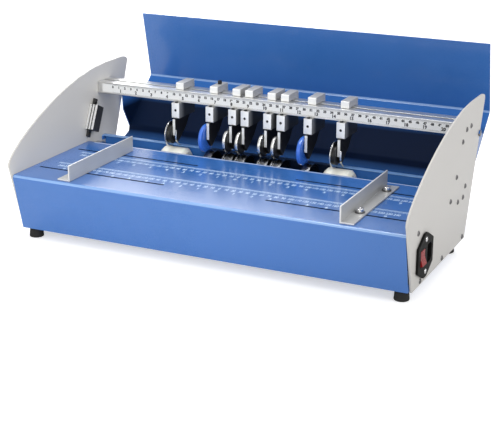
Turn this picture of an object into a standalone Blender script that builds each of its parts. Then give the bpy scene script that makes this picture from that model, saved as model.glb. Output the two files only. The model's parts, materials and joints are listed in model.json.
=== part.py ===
# Electric creasing machine: a counter machine that creases sheets between
# wheels on eight sliding heads and collars on a driven shaft.
#
# The machine's own axes: X runs along the shaft, right seen from the front,
# with zero midway between the side plates. Y runs back, with zero on the
# shaft's axis, the tool line. Z is up from the surface the feet stand on.

import math

import bpy
import bmesh
from mathutils import Matrix, Vector

MM = 0.001

# Gaps between pieces
GAP = 0.3 * MM
SIDE_GAP = 0.5 * MM
OVERRUN = 2 * MM
SEAM = 0.7 * MM
WELD = 0.001 * MM

# Side plates
INNER_WIDTH = 548 * MM
PLATE_T = 2.5 * MM
PLATE_FRONT = 217.1 * MM
PLATE_DEPTH = 310.9 * MM
PLATE_BOTTOM = 13.7 * MM
PLATE_HEIGHT = 185 * MM

# Outline of a side plate as shares of its depth and height: each row is a
# point and the handle before and after it, None where the edge is straight
PLATE_OUTLINE_SHARES = (
    ((0.090, 0.000), None, None),
    ((0.006, 0.469), None, (0.002, 0.485)),
    ((0.000, 0.503), (0.000, 0.492), (0.000, 0.530)),
    ((0.038, 0.587), (0.018, 0.556), (0.147, 0.732)),
    ((0.795, 1.000), (0.498, 1.000), None),
    ((0.945, 1.000), None, (0.978, 1.000)),
    ((1.000, 0.955), (1.004, 0.984), None),
    ((0.795, 0.000), None, None),
)
CURVE_STEPS = 8

# Folded sheet parts of the base
SHEET_T = 1.5 * MM
BEND_R = 4 * MM
SMALL_BEND_R = 2.2 * MM
BEND_STEPS = 4
TABLE_Z = 93.4 * MM
TABLE_REACH = 212.7 * MM
WALL_LEAN = 18.3 * MM
WALL_FOOT_Z = 14.9 * MM
ROLLER_SLOT_FRONT = 20.8 * MM
ROLLER_SLOT_BACK = 16.2 * MM
TABLE_LIP = 7 * MM
STRIP_WIDTH = 9 * MM
FLANGE_DROP = 14 * MM
FLANGE_FRONT_SET = 14 * MM
TAB_DROP = 7 * MM
TAB_DEPTH = 11 * MM

# Guide slots in the table
SLOT_WIDTH = 4 * MM
FRONT_SLOT_SET = 50.5 * MM
REAR_SLOT = 65.8 * MM
SLOT_END_SET = 10 * MM
SLOT_INNER = 72 * MM
ROUND_STEPS = 8

# Base pan and feet
PAN_Z = 14.7 * MM
PAN_RIM = 10 * MM
PAN_FRONT_SET = 2.2 * MM
FOOT_R = 9.8 * MM
FOOT_TOP_R = 8.6 * MM
FOOT_INSET = 12.6 * MM
FRONT_FOOT_BACK = 14 * MM
REAR_FOOT_AHEAD = 22 * MM

# Driven shaft, its bearings and its drive
SHAFT_Z = 75.6 * MM
SHAFT_R = 8 * MM
SHAFT_END_GAP = 2 * MM
SHAFT_CHAMFER = 0.8 * MM
BEARING_R = 12.5 * MM
BEARING_CUP = 7 * MM
BEARING_FLANGE_T = 3 * MM
BEARING_SPACING = 23 * MM
BEARING_FLANGE_R = 6.5 * MM
GEAR_TEETH = 26
PINION_TEETH = 13
GEAR_MODULE = 1.25 * MM
GEAR_ADDENDUM = 1.0 * MM
GEAR_DEDENDUM = 1.45 * MM
GEAR_BACKLASH = 0.4 * MM
GEAR_SPREAD = 0.25 * MM
GEAR_ANGLE = math.radians(225)
PRESSURE_ANGLE = math.radians(20)
GEAR_FACE = 10 * MM
GEAR_FROM_PLATE = 12 * MM
GEAR_HUB_R = 11 * MM
GEAR_HUB = 4 * MM
PINION_EXTRA = 1 * MM
MOTOR_SHAFT_R = 3 * MM
MOTOR_SHAFT_DEPTH = 10 * MM
GEARBOX_LENGTH = 33 * MM
GEARBOX_DEPTH = 56 * MM
GEARBOX_BACK = 9.2 * MM
GEARBOX_RISE = 9.8 * MM
GEARBOX_CHAMFER = 6 * MM
MOTOR_R = 25 * MM
MOTOR_LIFT = 2.2 * MM
MOTOR_LENGTH = 68 * MM
MOTOR_BACK_STEP = 5 * MM
MOTOR_BACK_R = 16 * MM

# Tool beam and its scale
BEAM_FRONT = 7.7 * MM
BEAM_DEPTH = 34.4 * MM
BEAM_Z = 159 * MM
BEAM_HEIGHT = 16.2 * MM
BEAM_LIP = 1.6 * MM
SCALE_RECESS = 1.2 * MM
SCALE_T = 0.8 * MM
SCALE_LENGTH = 532 * MM
BEAM_GROOVE_AT = 14.5 * MM
BEAM_GROOVE_MOUTH = 5 * MM
BEAM_GROOVE_WIDTH = 10 * MM
BEAM_GROOVE_LIP = 1.8 * MM
BEAM_GROOVE_DEPTH = 4.6 * MM

# Creasing heads, from the left
HEAD_WIDTH = 12 * MM
BLOCK_FRONT = 0.7 * MM
CLAMP_FRONT = 14.5 * MM
CLAMP_LEG = 6 * MM
CLAMP_CAP = 9.5 * MM
BLOCK_DROP = 22 * MM
BLOCK_CHAMFER = 1 * MM
TONGUE_FRONT = 4.3 * MM
TONGUE_DEPTH = 33.4 * MM
TONGUE_HEIGHT = 9.5 * MM
ARM_T = 4 * MM
ARM_FRONT = 4.3 * MM
ARM_BACK = 42 * MM
ARM_KNEE_BACK = 29 * MM
ARM_KNEE_DROP = 16.8 * MM
ARM_TOE_BACK = 4 * MM
ARM_TOE_DROP = 35.2 * MM
ARM_CHIN_DROP = 23.6 * MM
ARM_HEEL_BACK = 9 * MM
ARM_HEEL_DROP = 32 * MM
ARM_CORNER_R = 2 * MM
WHEEL_Z = 113.9 * MM
AXLE_R = 2.6 * MM
AXLE_CAP_R = 4.6 * MM
AXLE_CAP_T = 1.4 * MM
WHEEL_SIDE_GAP = 0.5 * MM

FEED_WHEEL_R = 19 * MM
FEED_WHEEL_W = 5.5 * MM
FEED_DISC_W = 1.8 * MM
FEED_HUB_R = 13.5 * MM
FEED_COLLAR_R = 19 * MM
FEED_COLLAR_W = 41 * MM
FEED_COLLAR_CHAMFER = 4.5 * MM
BLADE_R = 20 * MM
BLADE_W = 6 * MM
BLADE_CHAMFER = 1.6 * MM
BLADE_FACE_R = 14 * MM
BLADE_FACE_DEPTH = 1 * MM
BLADE_COLLAR_W = 12.6 * MM
BLADE_CLEARANCE = 0.4 * MM
CREASE_WHEEL_R = 16.4 * MM
CREASE_WHEEL_W = 4.5 * MM
CREASE_RIB_R = 16.9 * MM
CREASE_RIB_W = 1.2 * MM
TOOL_COLLAR_R = 21.6 * MM
CREASE_COLLAR_W = 17 * MM
CREASE_COLLAR_EDGE = 4.9 * MM
CREASE_GROOVE_W = 2.6 * MM
CREASE_GROOVE_DEPTH = 1.6 * MM
COLLAR_CHAMFER = 0.8 * MM

HEADS = (
    ("feed", -142.3 * MM),
    ("blade", -88.6 * MM),
    ("crease", -53.4 * MM),
    ("crease", -34.2 * MM),
    ("crease", 0),
    ("crease", 20.1 * MM),
    ("blade", 60 * MM),
    ("feed", 107.7 * MM),
)

# Rear cover, its places measured from its hinge at rest, folded back, and
# the angle that it swings through to close
COVER_SWING = math.radians(142.4)
HINGE_INSET = 3.75 * MM
HINGE_DROP = 51.7 * MM
COVER_SIDE_GAP = 5.5 * MM
COVER_FOLD_BACK = 11.2 * MM
COVER_FOLD_DOWN = 53 * MM
COVER_BEND_BACK = 80.8 * MM
COVER_BEND_UP = 10.1 * MM
COVER_EDGE_BACK = 59.2 * MM
COVER_EDGE_UP = 108.5 * MM
COVER_LIP_BACK = 9.5 * MM
COVER_LIP_DOWN = 63 * MM
COVER_TOE_AHEAD = 4 * MM
COVER_TOE_DOWN = 68.5 * MM
CHEEK_LUG_R = 9 * MM
CHEEK_AHEAD = 6.8 * MM
CHEEK_WAIST_DOWN = 26 * MM
CHEEK_SHARE = 0.6
CHEEK_LIP_SHARE = 0.2
CHEEK_SET = 0.1 * MM
PIVOT_R = 2 * MM
PIVOT_HEAD_R = 4.2 * MM
PIVOT_HEAD_T = 1.8 * MM

# Magnet catches, which the closed cover's front panel lies on
CATCH_LENGTH = 36.7 * MM
CATCH_DEPTH = 18 * MM
CATCH_WIDTH = 13 * MM
CATCH_REACH = 56.5 * MM
CATCH_LUG_LENGTH = 10 * MM
CATCH_LUG_DEPTH = 8 * MM
CATCH_LUG_T = 3 * MM
CATCH_LUG_SET = 6 * MM
CATCH_GROOVE_W = 1.6 * MM
CATCH_GROOVE_DEPTH = 1.2 * MM

# Power inlet with its rocker, on the right plate
INLET_SET = 62.6 * MM
INLET_Z = 49.5 * MM
INLET_HALF_WIDTH = 28.5 * MM
INLET_SHOULDER = 15.5 * MM
INLET_HALF_HEIGHT = 28.2 * MM
INLET_EAR = 5 * MM
INLET_FLANGE_T = 3 * MM
INLET_BODY_HALF_WIDTH = 25 * MM
INLET_BODY_HALF_HEIGHT = 14 * MM
INLET_BODY_DEPTH = 26 * MM
SOCKET_ASIDE = 13.8 * MM
SOCKET_HALF_WIDTH = 8.2 * MM
SOCKET_HALF_HEIGHT = 12.2 * MM
SOCKET_CORNER = 4 * MM
SOCKET_DEPTH = 16 * MM
PIN_LENGTH = 10 * MM
PIN_W = 2 * MM
PIN_H = 4 * MM
PIN_SPACING = 7 * MM
PIN_OFFSET = 2 * MM
ROCKER_ASIDE = 11.5 * MM
ROCKER_HALF_WIDTH = 8 * MM
ROCKER_HALF_HEIGHT = 9.4 * MM
ROCKER_WELL_DEPTH = 9 * MM
ROCKER_AXIS_DEPTH = 3.5 * MM
ROCKER_CREST = 5 * MM
ROCKER_VALLEY = 3.6 * MM
ROCKER_BACK = 3 * MM
ROCKER_TILT = math.radians(9)
ROCKER_END_GAP = 1.3 * MM

# Paper guides and their screws
GUIDE_INSET = 84.6 * MM
GUIDE_T = 2 * MM
GUIDE_HEIGHT = 21.6 * MM
GUIDE_FOOT = 16.5 * MM
GUIDE_SET = 7.1 * MM
GUIDE_REAR = 41.1 * MM
GUIDE_SCREW_ASIDE = 8.8 * MM
GUIDE_HOLE_R = 2.1 * MM
SCREW_R = 1.7 * MM
SCREW_HEAD_R = 4.8 * MM
SCREW_HEAD_H = 5.5 * MM
SCREW_DOME = 1 * MM
SCREW_SOCKET_R = 2 * MM
SCREW_SOCKET_DEPTH = 2.5 * MM
SCREW_NUT_R = 4.5 * MM
SCREW_NUT_T = 3 * MM

# Sides of the round pieces
WHEEL_SIDES = 28
ROD_SIDES = 24
SMALL_SIDES = 14

# Places that follow from the sizes above
HALF_WIDTH = INNER_WIDTH / 2
PLATE_OUTER = HALF_WIDTH + PLATE_T
TABLE_HALF = HALF_WIDTH - SIDE_GAP
REAR_WALL = ROLLER_SLOT_BACK + STRIP_WIDTH
FRONT_SLOT = TABLE_REACH - FRONT_SLOT_SET
SLOT_OUTER = HALF_WIDTH - SLOT_END_SET
GUIDE_X = HALF_WIDTH - GUIDE_INSET
GUIDE_FRONT = TABLE_REACH - GUIDE_SET
COVER_HALF = HALF_WIDTH - COVER_SIDE_GAP
BLOCK_TOP = BEAM_Z - GAP
BLOCK_BOTTOM = BLOCK_TOP - BLOCK_DROP
CLAMP_SEAT = BEAM_Z + BEAM_HEIGHT + GAP
CLAMP_BACK = BEAM_FRONT + BEAM_DEPTH + GAP
ARM_TOP = BLOCK_BOTTOM - GAP
GEAR_CENTRES = (GEAR_TEETH + PINION_TEETH) * GEAR_MODULE / 2 + GEAR_SPREAD
PINION_Y = GEAR_CENTRES * math.cos(GEAR_ANGLE)
PINION_Z = SHAFT_Z + GEAR_CENTRES * math.sin(GEAR_ANGLE)
GEAR_RIGHT = HALF_WIDTH - GEAR_FROM_PLATE
GEARBOX_RIGHT = GEAR_RIGHT - GEAR_FACE - GEAR_HUB
INLET_FACE = PLATE_OUTER + GAP + INLET_FLANGE_T
INLET_AHEAD = TABLE_REACH - INLET_SET


def rear_edge(height):
    """Place of a side plate's straight rear edge at a height."""
    top, foot = PLATE_OUTLINE_SHARES[-2][0], PLATE_OUTLINE_SHARES[-1][0]
    rise = (height - PLATE_BOTTOM) / PLATE_HEIGHT
    return (foot[0] + (top[0] - foot[0]) * rise / top[1]) * PLATE_DEPTH - PLATE_FRONT


HINGE_Z = PLATE_BOTTOM + PLATE_HEIGHT - HINGE_DROP
HINGE_BACK = rear_edge(HINGE_Z) - HINGE_INSET


def clear_scene():
    for thing in list(bpy.data.objects):
        bpy.data.objects.remove(thing, do_unlink=True)


def new_collection(name):
    collection = bpy.data.collections.new(name)
    bpy.context.scene.collection.children.link(collection)
    return collection


def paint(name, colour, roughness, metallic=0.0):
    material = bpy.data.materials.new(name)
    material.use_nodes = True
    shader = material.node_tree.nodes["Principled BSDF"]
    shader.inputs["Base Color"].default_value = (*colour, 1)
    shader.inputs["Roughness"].default_value = roughness
    shader.inputs["Metallic"].default_value = metallic
    material.diffuse_color = (*colour, 1)
    return material


# Points of outlines
def arc(centre, radius, start, end, steps):
    """Points on an arc, its angles in radians from the first axis."""
    points = []
    for step in range(steps + 1):
        angle = start + (end - start) * step / steps
        points.append((centre[0] + radius * math.cos(angle), centre[1] + radius * math.sin(angle)))
    return points


def circle(centre, radius, sides):
    return arc(centre, radius, 0, 2 * math.pi * (sides - 1) / sides, sides - 1)


def rounded_corner(before, corner, after, radius, steps):
    """Arc of a fillet of the given radius at a corner of an outline."""
    corner = Vector(corner)
    to_before = (Vector(before) - corner).normalized()
    to_after = (Vector(after) - corner).normalized()
    half_angle = to_before.angle(to_after) / 2
    centre = corner + (to_before + to_after).normalized() * radius / math.sin(half_angle)
    reach = radius / math.tan(half_angle)
    start = corner + to_before * reach - centre
    end = corner + to_after * reach - centre
    turn = start.angle_signed(end)
    points = []
    for step in range(steps + 1):
        angle = -turn * step / steps
        spoke = Vector((start.x * math.cos(angle) - start.y * math.sin(angle),
                        start.x * math.sin(angle) + start.y * math.cos(angle)))
        points.append(tuple(centre + spoke))
    return points


def rounded_line(points, radius, steps=BEND_STEPS):
    """Open line with every inner corner rounded."""
    line = [points[0]]
    for before, corner, after in zip(points, points[1:], points[2:]):
        line += rounded_corner(before, corner, after, radius, steps)
    line.append(points[-1])
    return line


def bezier(start, handle_a, handle_b, end, steps):
    points = []
    for step in range(1, steps + 1):
        t = step / steps
        weights = ((1 - t) ** 3, 3 * t * (1 - t) ** 2, 3 * t * t * (1 - t), t ** 3)
        corners = (start, handle_a, handle_b, end)
        points.append(tuple(sum(w * c[axis] for w, c in zip(weights, corners)) for axis in (0, 1)))
    return points


def box_loop(first_0, first_1, second_0, second_1):
    return [(first_0, second_0), (first_1, second_0), (first_1, second_1), (first_0, second_1)]


def stadium(centre, half_length, radius, steps=ROUND_STEPS):
    """Slot outline, long along the first axis."""
    first, second = centre
    right = arc((first + half_length, second), radius, -math.pi / 2, math.pi / 2, steps)
    left = arc((first - half_length, second), radius, math.pi / 2, 1.5 * math.pi, steps)
    return right + left


# Solids
class Shop:
    """Keeps the collections, the parent empty and the materials."""

    parts = None
    cutters = None
    root = None
    paints = {}


def settle(shape, material):
    """Puts a finished piece in the machine, under the root empty."""
    for holder in list(shape.users_collection):
        holder.objects.unlink(shape)
    Shop.parts.objects.link(shape)
    shape.parent = Shop.root
    shape.data.materials.clear()
    shape.data.materials.append(Shop.paints[material])
    shape.data.shade_smooth()
    shape.data.set_sharp_from_angle(angle=math.radians(30))
    return shape


def from_mesh(name, mesh):
    shape = bpy.data.objects.new(name, mesh)
    bpy.context.scene.collection.objects.link(shape)
    return shape


def evaluated_copy(shape):
    """Mesh of an object with its modifiers and its place baked in."""
    bpy.context.view_layer.update()
    deps = bpy.context.evaluated_depsgraph_get()
    mesh = bpy.data.meshes.new_from_object(shape.evaluated_get(deps), depsgraph=deps)
    mesh.transform(shape.matrix_world)
    return mesh


def baked(shape, name=None):
    """The object again, as one plain mesh in the machine's own axes."""
    mesh = evaluated_copy(shape)
    operands = [m.object for m in shape.modifiers if m.type == "BOOLEAN"]
    label = name or shape.name
    for old in [shape, *operands]:
        bpy.data.objects.remove(old, do_unlink=True)
    mesh.name = label
    return from_mesh(label, mesh)


def welded(shape):
    """Merges doubled points and turns every face outwards."""
    tidy = bmesh.new()
    tidy.from_mesh(shape.data)
    bmesh.ops.remove_doubles(tidy, verts=tidy.verts, dist=WELD)
    bmesh.ops.recalc_face_normals(tidy, faces=tidy.faces)
    tidy.to_mesh(shape.data)
    tidy.free()
    return shape


def mesh_of(shape):
    """Mesh of a shape that several pieces share, without its object."""
    mesh = shape.data
    bpy.data.objects.remove(shape, do_unlink=True)
    return mesh


def origin_at(shape, x, y, z):
    """Moves an object's origin to a point, leaving its surface where it is."""
    shape.data.transform(Matrix.Translation((-x, -y, -z)))
    shape.location = (x, y, z)
    return shape


PLANES = {
    "YZ": (math.pi / 2, 0, math.pi / 2),
    "XZ": (math.pi / 2, 0, 0),
    "XY": (0, 0, 0),
}


def cut_from_sheet(name, loops, plane, low, high):
    """Solid between two levels of a plane's normal, its outline loop first,
    then its holes. On the XZ plane the levels run towards the front."""
    curve = bpy.data.curves.new(name, "CURVE")
    curve.dimensions = "2D"
    curve.fill_mode = "BOTH"
    curve.extrude = (high - low) / 2
    for loop in loops:
        spline = curve.splines.new("POLY")
        spline.points.add(len(loop) - 1)
        for point, (first, second) in zip(spline.points, loop):
            point.co = (first, second, 0, 1)
        spline.use_cyclic_u = True
    shape = bpy.data.objects.new(name, curve)
    bpy.context.scene.collection.objects.link(shape)
    shape.rotation_euler = PLANES[plane]
    middle = (low + high) / 2
    shape.location = {"YZ": (middle, 0, 0), "XZ": (0, -middle, 0), "XY": (0, 0, middle)}[plane]
    return welded(baked(shape, name))


def block(name, x0, x1, y0, y1, z0, z1):
    mesh = bpy.data.meshes.new(name)
    shape = bmesh.new()
    bmesh.ops.create_cube(shape, size=1)
    bmesh.ops.scale(shape, vec=(x1 - x0, y1 - y0, z1 - z0), verts=shape.verts)
    bmesh.ops.translate(shape, vec=((x0 + x1) / 2, (y0 + y1) / 2, (z0 + z1) / 2), verts=shape.verts)
    shape.to_mesh(mesh)
    shape.free()
    return from_mesh(name, mesh)


def rod(name, radius, x0, x1, y, z, sides=ROD_SIDES):
    """Cylinder along X."""
    mesh = bpy.data.meshes.new(name)
    shape = bmesh.new()
    bmesh.ops.create_cone(shape, cap_ends=True, segments=sides, radius1=radius, radius2=radius,
                          depth=x1 - x0)
    bmesh.ops.rotate(shape, verts=shape.verts, matrix=Matrix.Rotation(math.pi / 2, 3, "Y"))
    bmesh.ops.translate(shape, vec=((x0 + x1) / 2, y, z), verts=shape.verts)
    shape.to_mesh(mesh)
    shape.free()
    return from_mesh(name, mesh)


def turned(name, profile, sides, closed=True, upright=False):
    """Turned piece about the X axis, or about Z if upright. The profile is
    (radius, place) and runs down the outer side, then back up the bore."""
    mesh = bpy.data.meshes.new(name)
    outline = bmesh.new()
    points = [outline.verts.new((radius, 0, place)) for radius, place in profile]
    for first, second in zip(points, points[1:]):
        outline.edges.new((first, second))
    if closed:
        outline.edges.new((points[-1], points[0]))
    outline.to_mesh(mesh)
    outline.free()
    shape = from_mesh(name, mesh)
    screw = shape.modifiers.new("Turn", "SCREW")
    screw.axis = "Z"
    screw.steps = sides
    screw.render_steps = sides
    screw.use_merge_vertices = True
    screw.merge_threshold = WELD
    if not upright:
        shape.rotation_euler = (0, math.pi / 2, 0)
    return welded(baked(shape, name))


def ring_profile(bore, steps):
    """Closed profile of a ring: steps are (radius, place) from its high end
    to its low end, and the bore closes it."""
    return [*steps, (bore, steps[-1][1]), (bore, steps[0][1])]


def moved(shape, x=0, y=0, z=0):
    shape.data.transform(Matrix.Translation((x, y, z)))
    return shape


def combine(shape, other, operation):
    """Adds a Boolean with another object, which becomes a hidden operand."""
    for holder in list(other.users_collection):
        holder.objects.unlink(other)
    Shop.cutters.objects.link(other)
    other.hide_render = True
    other.display_type = "WIRE"
    other.parent = Shop.root
    step = shape.modifiers.new(operation.title(), "BOOLEAN")
    step.operation = operation
    step.solver = "EXACT"
    step.object = other
    return shape


def joined(shape, *others):
    for other in others:
        combine(shape, other, "UNION")
    return shape


def cut(shape, *others):
    for other in others:
        combine(shape, other, "DIFFERENCE")
    return shape


def folded_sheet(name, profile, half_width):
    """Sheet metal that follows a YZ line, its thickness behind the line as
    seen with the line running forwards over the top."""
    mesh = bpy.data.meshes.new(name)
    strip = bmesh.new()
    line = [strip.verts.new((-half_width, y, z)) for y, z in profile]
    edges = [strip.edges.new(pair) for pair in zip(line, line[1:])]
    grown = bmesh.ops.extrude_edge_only(strip, edges=edges)["geom"]
    fresh = [part for part in grown if isinstance(part, bmesh.types.BMVert)]
    bmesh.ops.translate(strip, vec=(2 * half_width, 0, 0), verts=fresh)
    strip.normal_update()
    run = Vector(profile[1]) - Vector(profile[0])
    if edges[0].link_faces[0].normal.dot((0, run.y, -run.x)) < 0:
        bmesh.ops.reverse_faces(strip, faces=strip.faces)
    strip.to_mesh(mesh)
    strip.free()
    shape = from_mesh(name, mesh)
    wall = shape.modifiers.new("Sheet", "SOLIDIFY")
    wall.thickness = SHEET_T
    wall.offset = -1
    wall.use_even_offset = True
    return shape


# Side plates
def plate_outline():
    points = []
    count = len(PLATE_OUTLINE_SHARES)

    def place(share):
        return (share[0] * PLATE_DEPTH - PLATE_FRONT, PLATE_BOTTOM + share[1] * PLATE_HEIGHT)

    for index, (corner, _, after) in enumerate(PLATE_OUTLINE_SHARES):
        following, before, _ = PLATE_OUTLINE_SHARES[(index + 1) % count]
        if not points:
            points.append(place(corner))
        if after or before:
            points += bezier(place(corner), place(after or corner), place(before or following),
                             place(following), CURVE_STEPS)
        elif index < count - 1:
            points.append(place(following))
    return points


def side_plate(name, side):
    """Flat plate with the hinge hole, and on the right the inlet's cut-out."""
    loops = [plate_outline(), circle((HINGE_BACK, HINGE_Z), PIVOT_R + GAP, SMALL_SIDES)]
    if side > 0:
        loops.append(box_loop(-INLET_AHEAD - INLET_BODY_HALF_WIDTH - GAP,
                              -INLET_AHEAD + INLET_BODY_HALF_WIDTH + GAP,
                              INLET_Z - INLET_BODY_HALF_HEIGHT - GAP,
                              INLET_Z + INLET_BODY_HALF_HEIGHT + GAP))
    low, high = sorted((side * HALF_WIDTH, side * PLATE_OUTER))
    return settle(cut_from_sheet(name, loops, "YZ", low, high), "plate_white")


# Base
def table_housing():
    """Feed table and front wall in one folded sheet, with a flange down each
    side and four slots for the guides."""
    wall_foot = -TABLE_REACH + WALL_LEAN
    corners = [(-ROLLER_SLOT_FRONT, TABLE_Z - TABLE_LIP), (-ROLLER_SLOT_FRONT, TABLE_Z),
               (-TABLE_REACH, TABLE_Z), (wall_foot, WALL_FOOT_Z)]
    lip = rounded_corner(corners[0], corners[1], corners[2], SMALL_BEND_R, BEND_STEPS)
    nose = rounded_corner(corners[1], corners[2], corners[3], BEND_R, BEND_STEPS)
    table = folded_sheet("table_housing", [corners[0], *lip, *nose, corners[3]], TABLE_HALF)
    for side in (-1, 1):
        x0, x1 = sorted((side * TABLE_HALF, side * (TABLE_HALF - SHEET_T)))
        joined(table, block("flange", x0, x1, -TABLE_REACH + FLANGE_FRONT_SET,
                            -ROLLER_SLOT_FRONT - SMALL_BEND_R,
                            TABLE_Z - FLANGE_DROP, TABLE_Z - SHEET_T + SEAM))
        for back in (FRONT_SLOT, REAR_SLOT):
            middle = side * (SLOT_OUTER + SLOT_INNER) / 2
            half = (SLOT_OUTER - SLOT_INNER) / 2 - SLOT_WIDTH / 2
            slot = stadium((middle, -back), half, SLOT_WIDTH / 2)
            cut(table, cut_from_sheet("slot", [slot], "XY", TABLE_Z - SHEET_T - OVERRUN,
                                      TABLE_Z + OVERRUN))
    return settle(table, "blue_paint")


def rear_panel():
    """Strip behind the roller slot, folded down into the rear wall."""
    profile = rounded_line([(REAR_WALL, WALL_FOOT_Z), (REAR_WALL, TABLE_Z),
                            (ROLLER_SLOT_BACK, TABLE_Z)], SMALL_BEND_R)
    panel = folded_sheet("rear_panel", profile, TABLE_HALF)
    for side in (-1, 1):
        x0, x1 = sorted((side * TABLE_HALF, side * (TABLE_HALF - SHEET_T)))
        joined(panel, block("tab", x0, x1, REAR_WALL - TAB_DEPTH, REAR_WALL - SHEET_T + SEAM,
                            TABLE_Z - TAB_DROP, TABLE_Z - SHEET_T + SEAM))
    return settle(panel, "blue_paint")


def base_pan():
    """Shallow pan that closes the base, open at the top."""
    front = -TABLE_REACH + WALL_LEAN + SHEET_T + PAN_FRONT_SET
    rear = REAR_WALL - SHEET_T - SIDE_GAP
    pan = block("base_pan", -TABLE_HALF, TABLE_HALF, front, rear, PAN_Z, PAN_Z + PAN_RIM)
    shell = bmesh.new()
    shell.from_mesh(pan.data)
    top = max(shell.faces, key=lambda face: face.calc_center_median().z)
    bmesh.ops.delete(shell, geom=[top], context="FACES_ONLY")
    shell.to_mesh(pan.data)
    shell.free()
    wall = pan.modifiers.new("Sheet", "SOLIDIFY")
    wall.thickness = SHEET_T
    wall.offset = -1
    wall.use_even_offset = True
    return settle(pan, "blue_paint")


def feet():
    places = {"front": -TABLE_REACH + WALL_LEAN + FRONT_FOOT_BACK,
              "rear": REAR_WALL - REAR_FOOT_AHEAD}
    height = PAN_Z - GAP
    for row, y in places.items():
        for label, side in (("left", -1), ("right", 1)):
            name = f"foot_{row}_{label}"
            foot = turned(name, [(0, height), (FOOT_TOP_R, height), (FOOT_R, 0), (0, 0)],
                          ROD_SIDES, closed=False, upright=True)
            foot.location = (side * (HALF_WIDTH - FOOT_INSET), y, 0)
            settle(foot, "black_rubber")


# Drive
def drive_shaft():
    end = HALF_WIDTH - SHAFT_END_GAP
    inner = SHAFT_R - SHAFT_CHAMFER
    profile = [(0, end), (inner, end), (SHAFT_R, end - SHAFT_CHAMFER),
               (SHAFT_R, -end + SHAFT_CHAMFER), (inner, -end), (0, -end)]
    shaft = moved(turned("drive_shaft", profile, ROD_SIDES, closed=False), z=SHAFT_Z)
    return settle(origin_at(shaft, 0, 0, SHAFT_Z), "steel")


def shaft_bearing(name, side):
    """Flanged bearing, screwed to the inside of a side plate."""
    outer = HALF_WIDTH - GAP
    flange_in = outer - BEARING_FLANGE_T
    cup_in = flange_in - BEARING_CUP
    flange = cut_from_sheet(name, [stadium((0, SHAFT_Z), BEARING_SPACING / 2, BEARING_FLANGE_R)],
                            "YZ", *sorted((side * flange_in, side * outer)))
    cup = rod("cup", BEARING_R, *sorted((side * cup_in, side * (outer - SEAM))), 0, SHAFT_Z)
    bore = rod("bore", SHAFT_R + GAP, *sorted((side * (cup_in - OVERRUN), side * (outer + OVERRUN))),
               0, SHAFT_Z)
    bearing = cut(joined(flange, cup), bore)
    return settle(bearing, "steel")


def involute(base_radius, radius):
    """Angle that an involute has turned through at a radius."""
    rolled = math.acos(base_radius / max(radius, base_radius))
    return math.tan(rolled) - rolled


def gear_outline(teeth, phase, flank_steps=3):
    """Teeth with involute flanks, one tooth centred on the phase angle."""
    pitch = teeth * GEAR_MODULE / 2
    base = pitch * math.cos(PRESSURE_ANGLE)
    tip, root = pitch + GEAR_ADDENDUM, pitch - GEAR_DEDENDUM
    half_tooth = math.pi / (2 * teeth) - GEAR_BACKLASH / (2 * pitch) + involute(base, pitch)
    foot = max(base, root)
    radii = [foot + (tip - foot) * step / (flank_steps - 1) for step in range(flank_steps)]
    flank = [(radius, half_tooth - involute(base, radius)) for radius in radii]
    if root < base:
        flank.insert(0, (root, flank[0][1]))
    points = []
    for tooth in range(teeth):
        centre = phase + 2 * math.pi * tooth / teeth
        rise = [(radius, centre - angle) for radius, angle in flank]
        fall = [(radius, centre + angle) for radius, angle in reversed(flank)]
        points += [(radius * math.cos(angle), radius * math.sin(angle)) for radius, angle in rise + fall]
    return points


def shaft_gear():
    outline = gear_outline(GEAR_TEETH, GEAR_ANGLE)
    bore = circle((0, 0), SHAFT_R + GAP, ROD_SIDES)
    gear = cut_from_sheet("shaft_gear", [outline, bore], "YZ", GEAR_RIGHT - GEAR_FACE, GEAR_RIGHT)
    hub_profile = ring_profile(SHAFT_R + GAP, [(GEAR_HUB_R, GEAR_RIGHT - SEAM),
                                               (GEAR_HUB_R, GEAR_RIGHT - GEAR_FACE - GEAR_HUB + GAP)])
    gear = baked(joined(gear, turned("hub", hub_profile, ROD_SIDES)), "shaft_gear")
    gear.location = (0, 0, SHAFT_Z)
    return settle(gear, "steel")


def motor_pinion():
    """Pinion cut on the end of the gear motor's output shaft."""
    phase = GEAR_ANGLE + math.pi + math.pi / PINION_TEETH
    left = GEAR_RIGHT - GEAR_FACE
    pinion = cut_from_sheet("motor_pinion", [gear_outline(PINION_TEETH, phase)], "YZ",
                            left, GEAR_RIGHT + PINION_EXTRA)
    stub = rod("stub", MOTOR_SHAFT_R, GEARBOX_RIGHT - MOTOR_SHAFT_DEPTH + GAP, left + SEAM, 0, 0,
               SMALL_SIDES)
    pinion = baked(joined(pinion, stub), "motor_pinion")
    pinion.location = (0, PINION_Y, PINION_Z)
    return settle(pinion, "steel")


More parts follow.
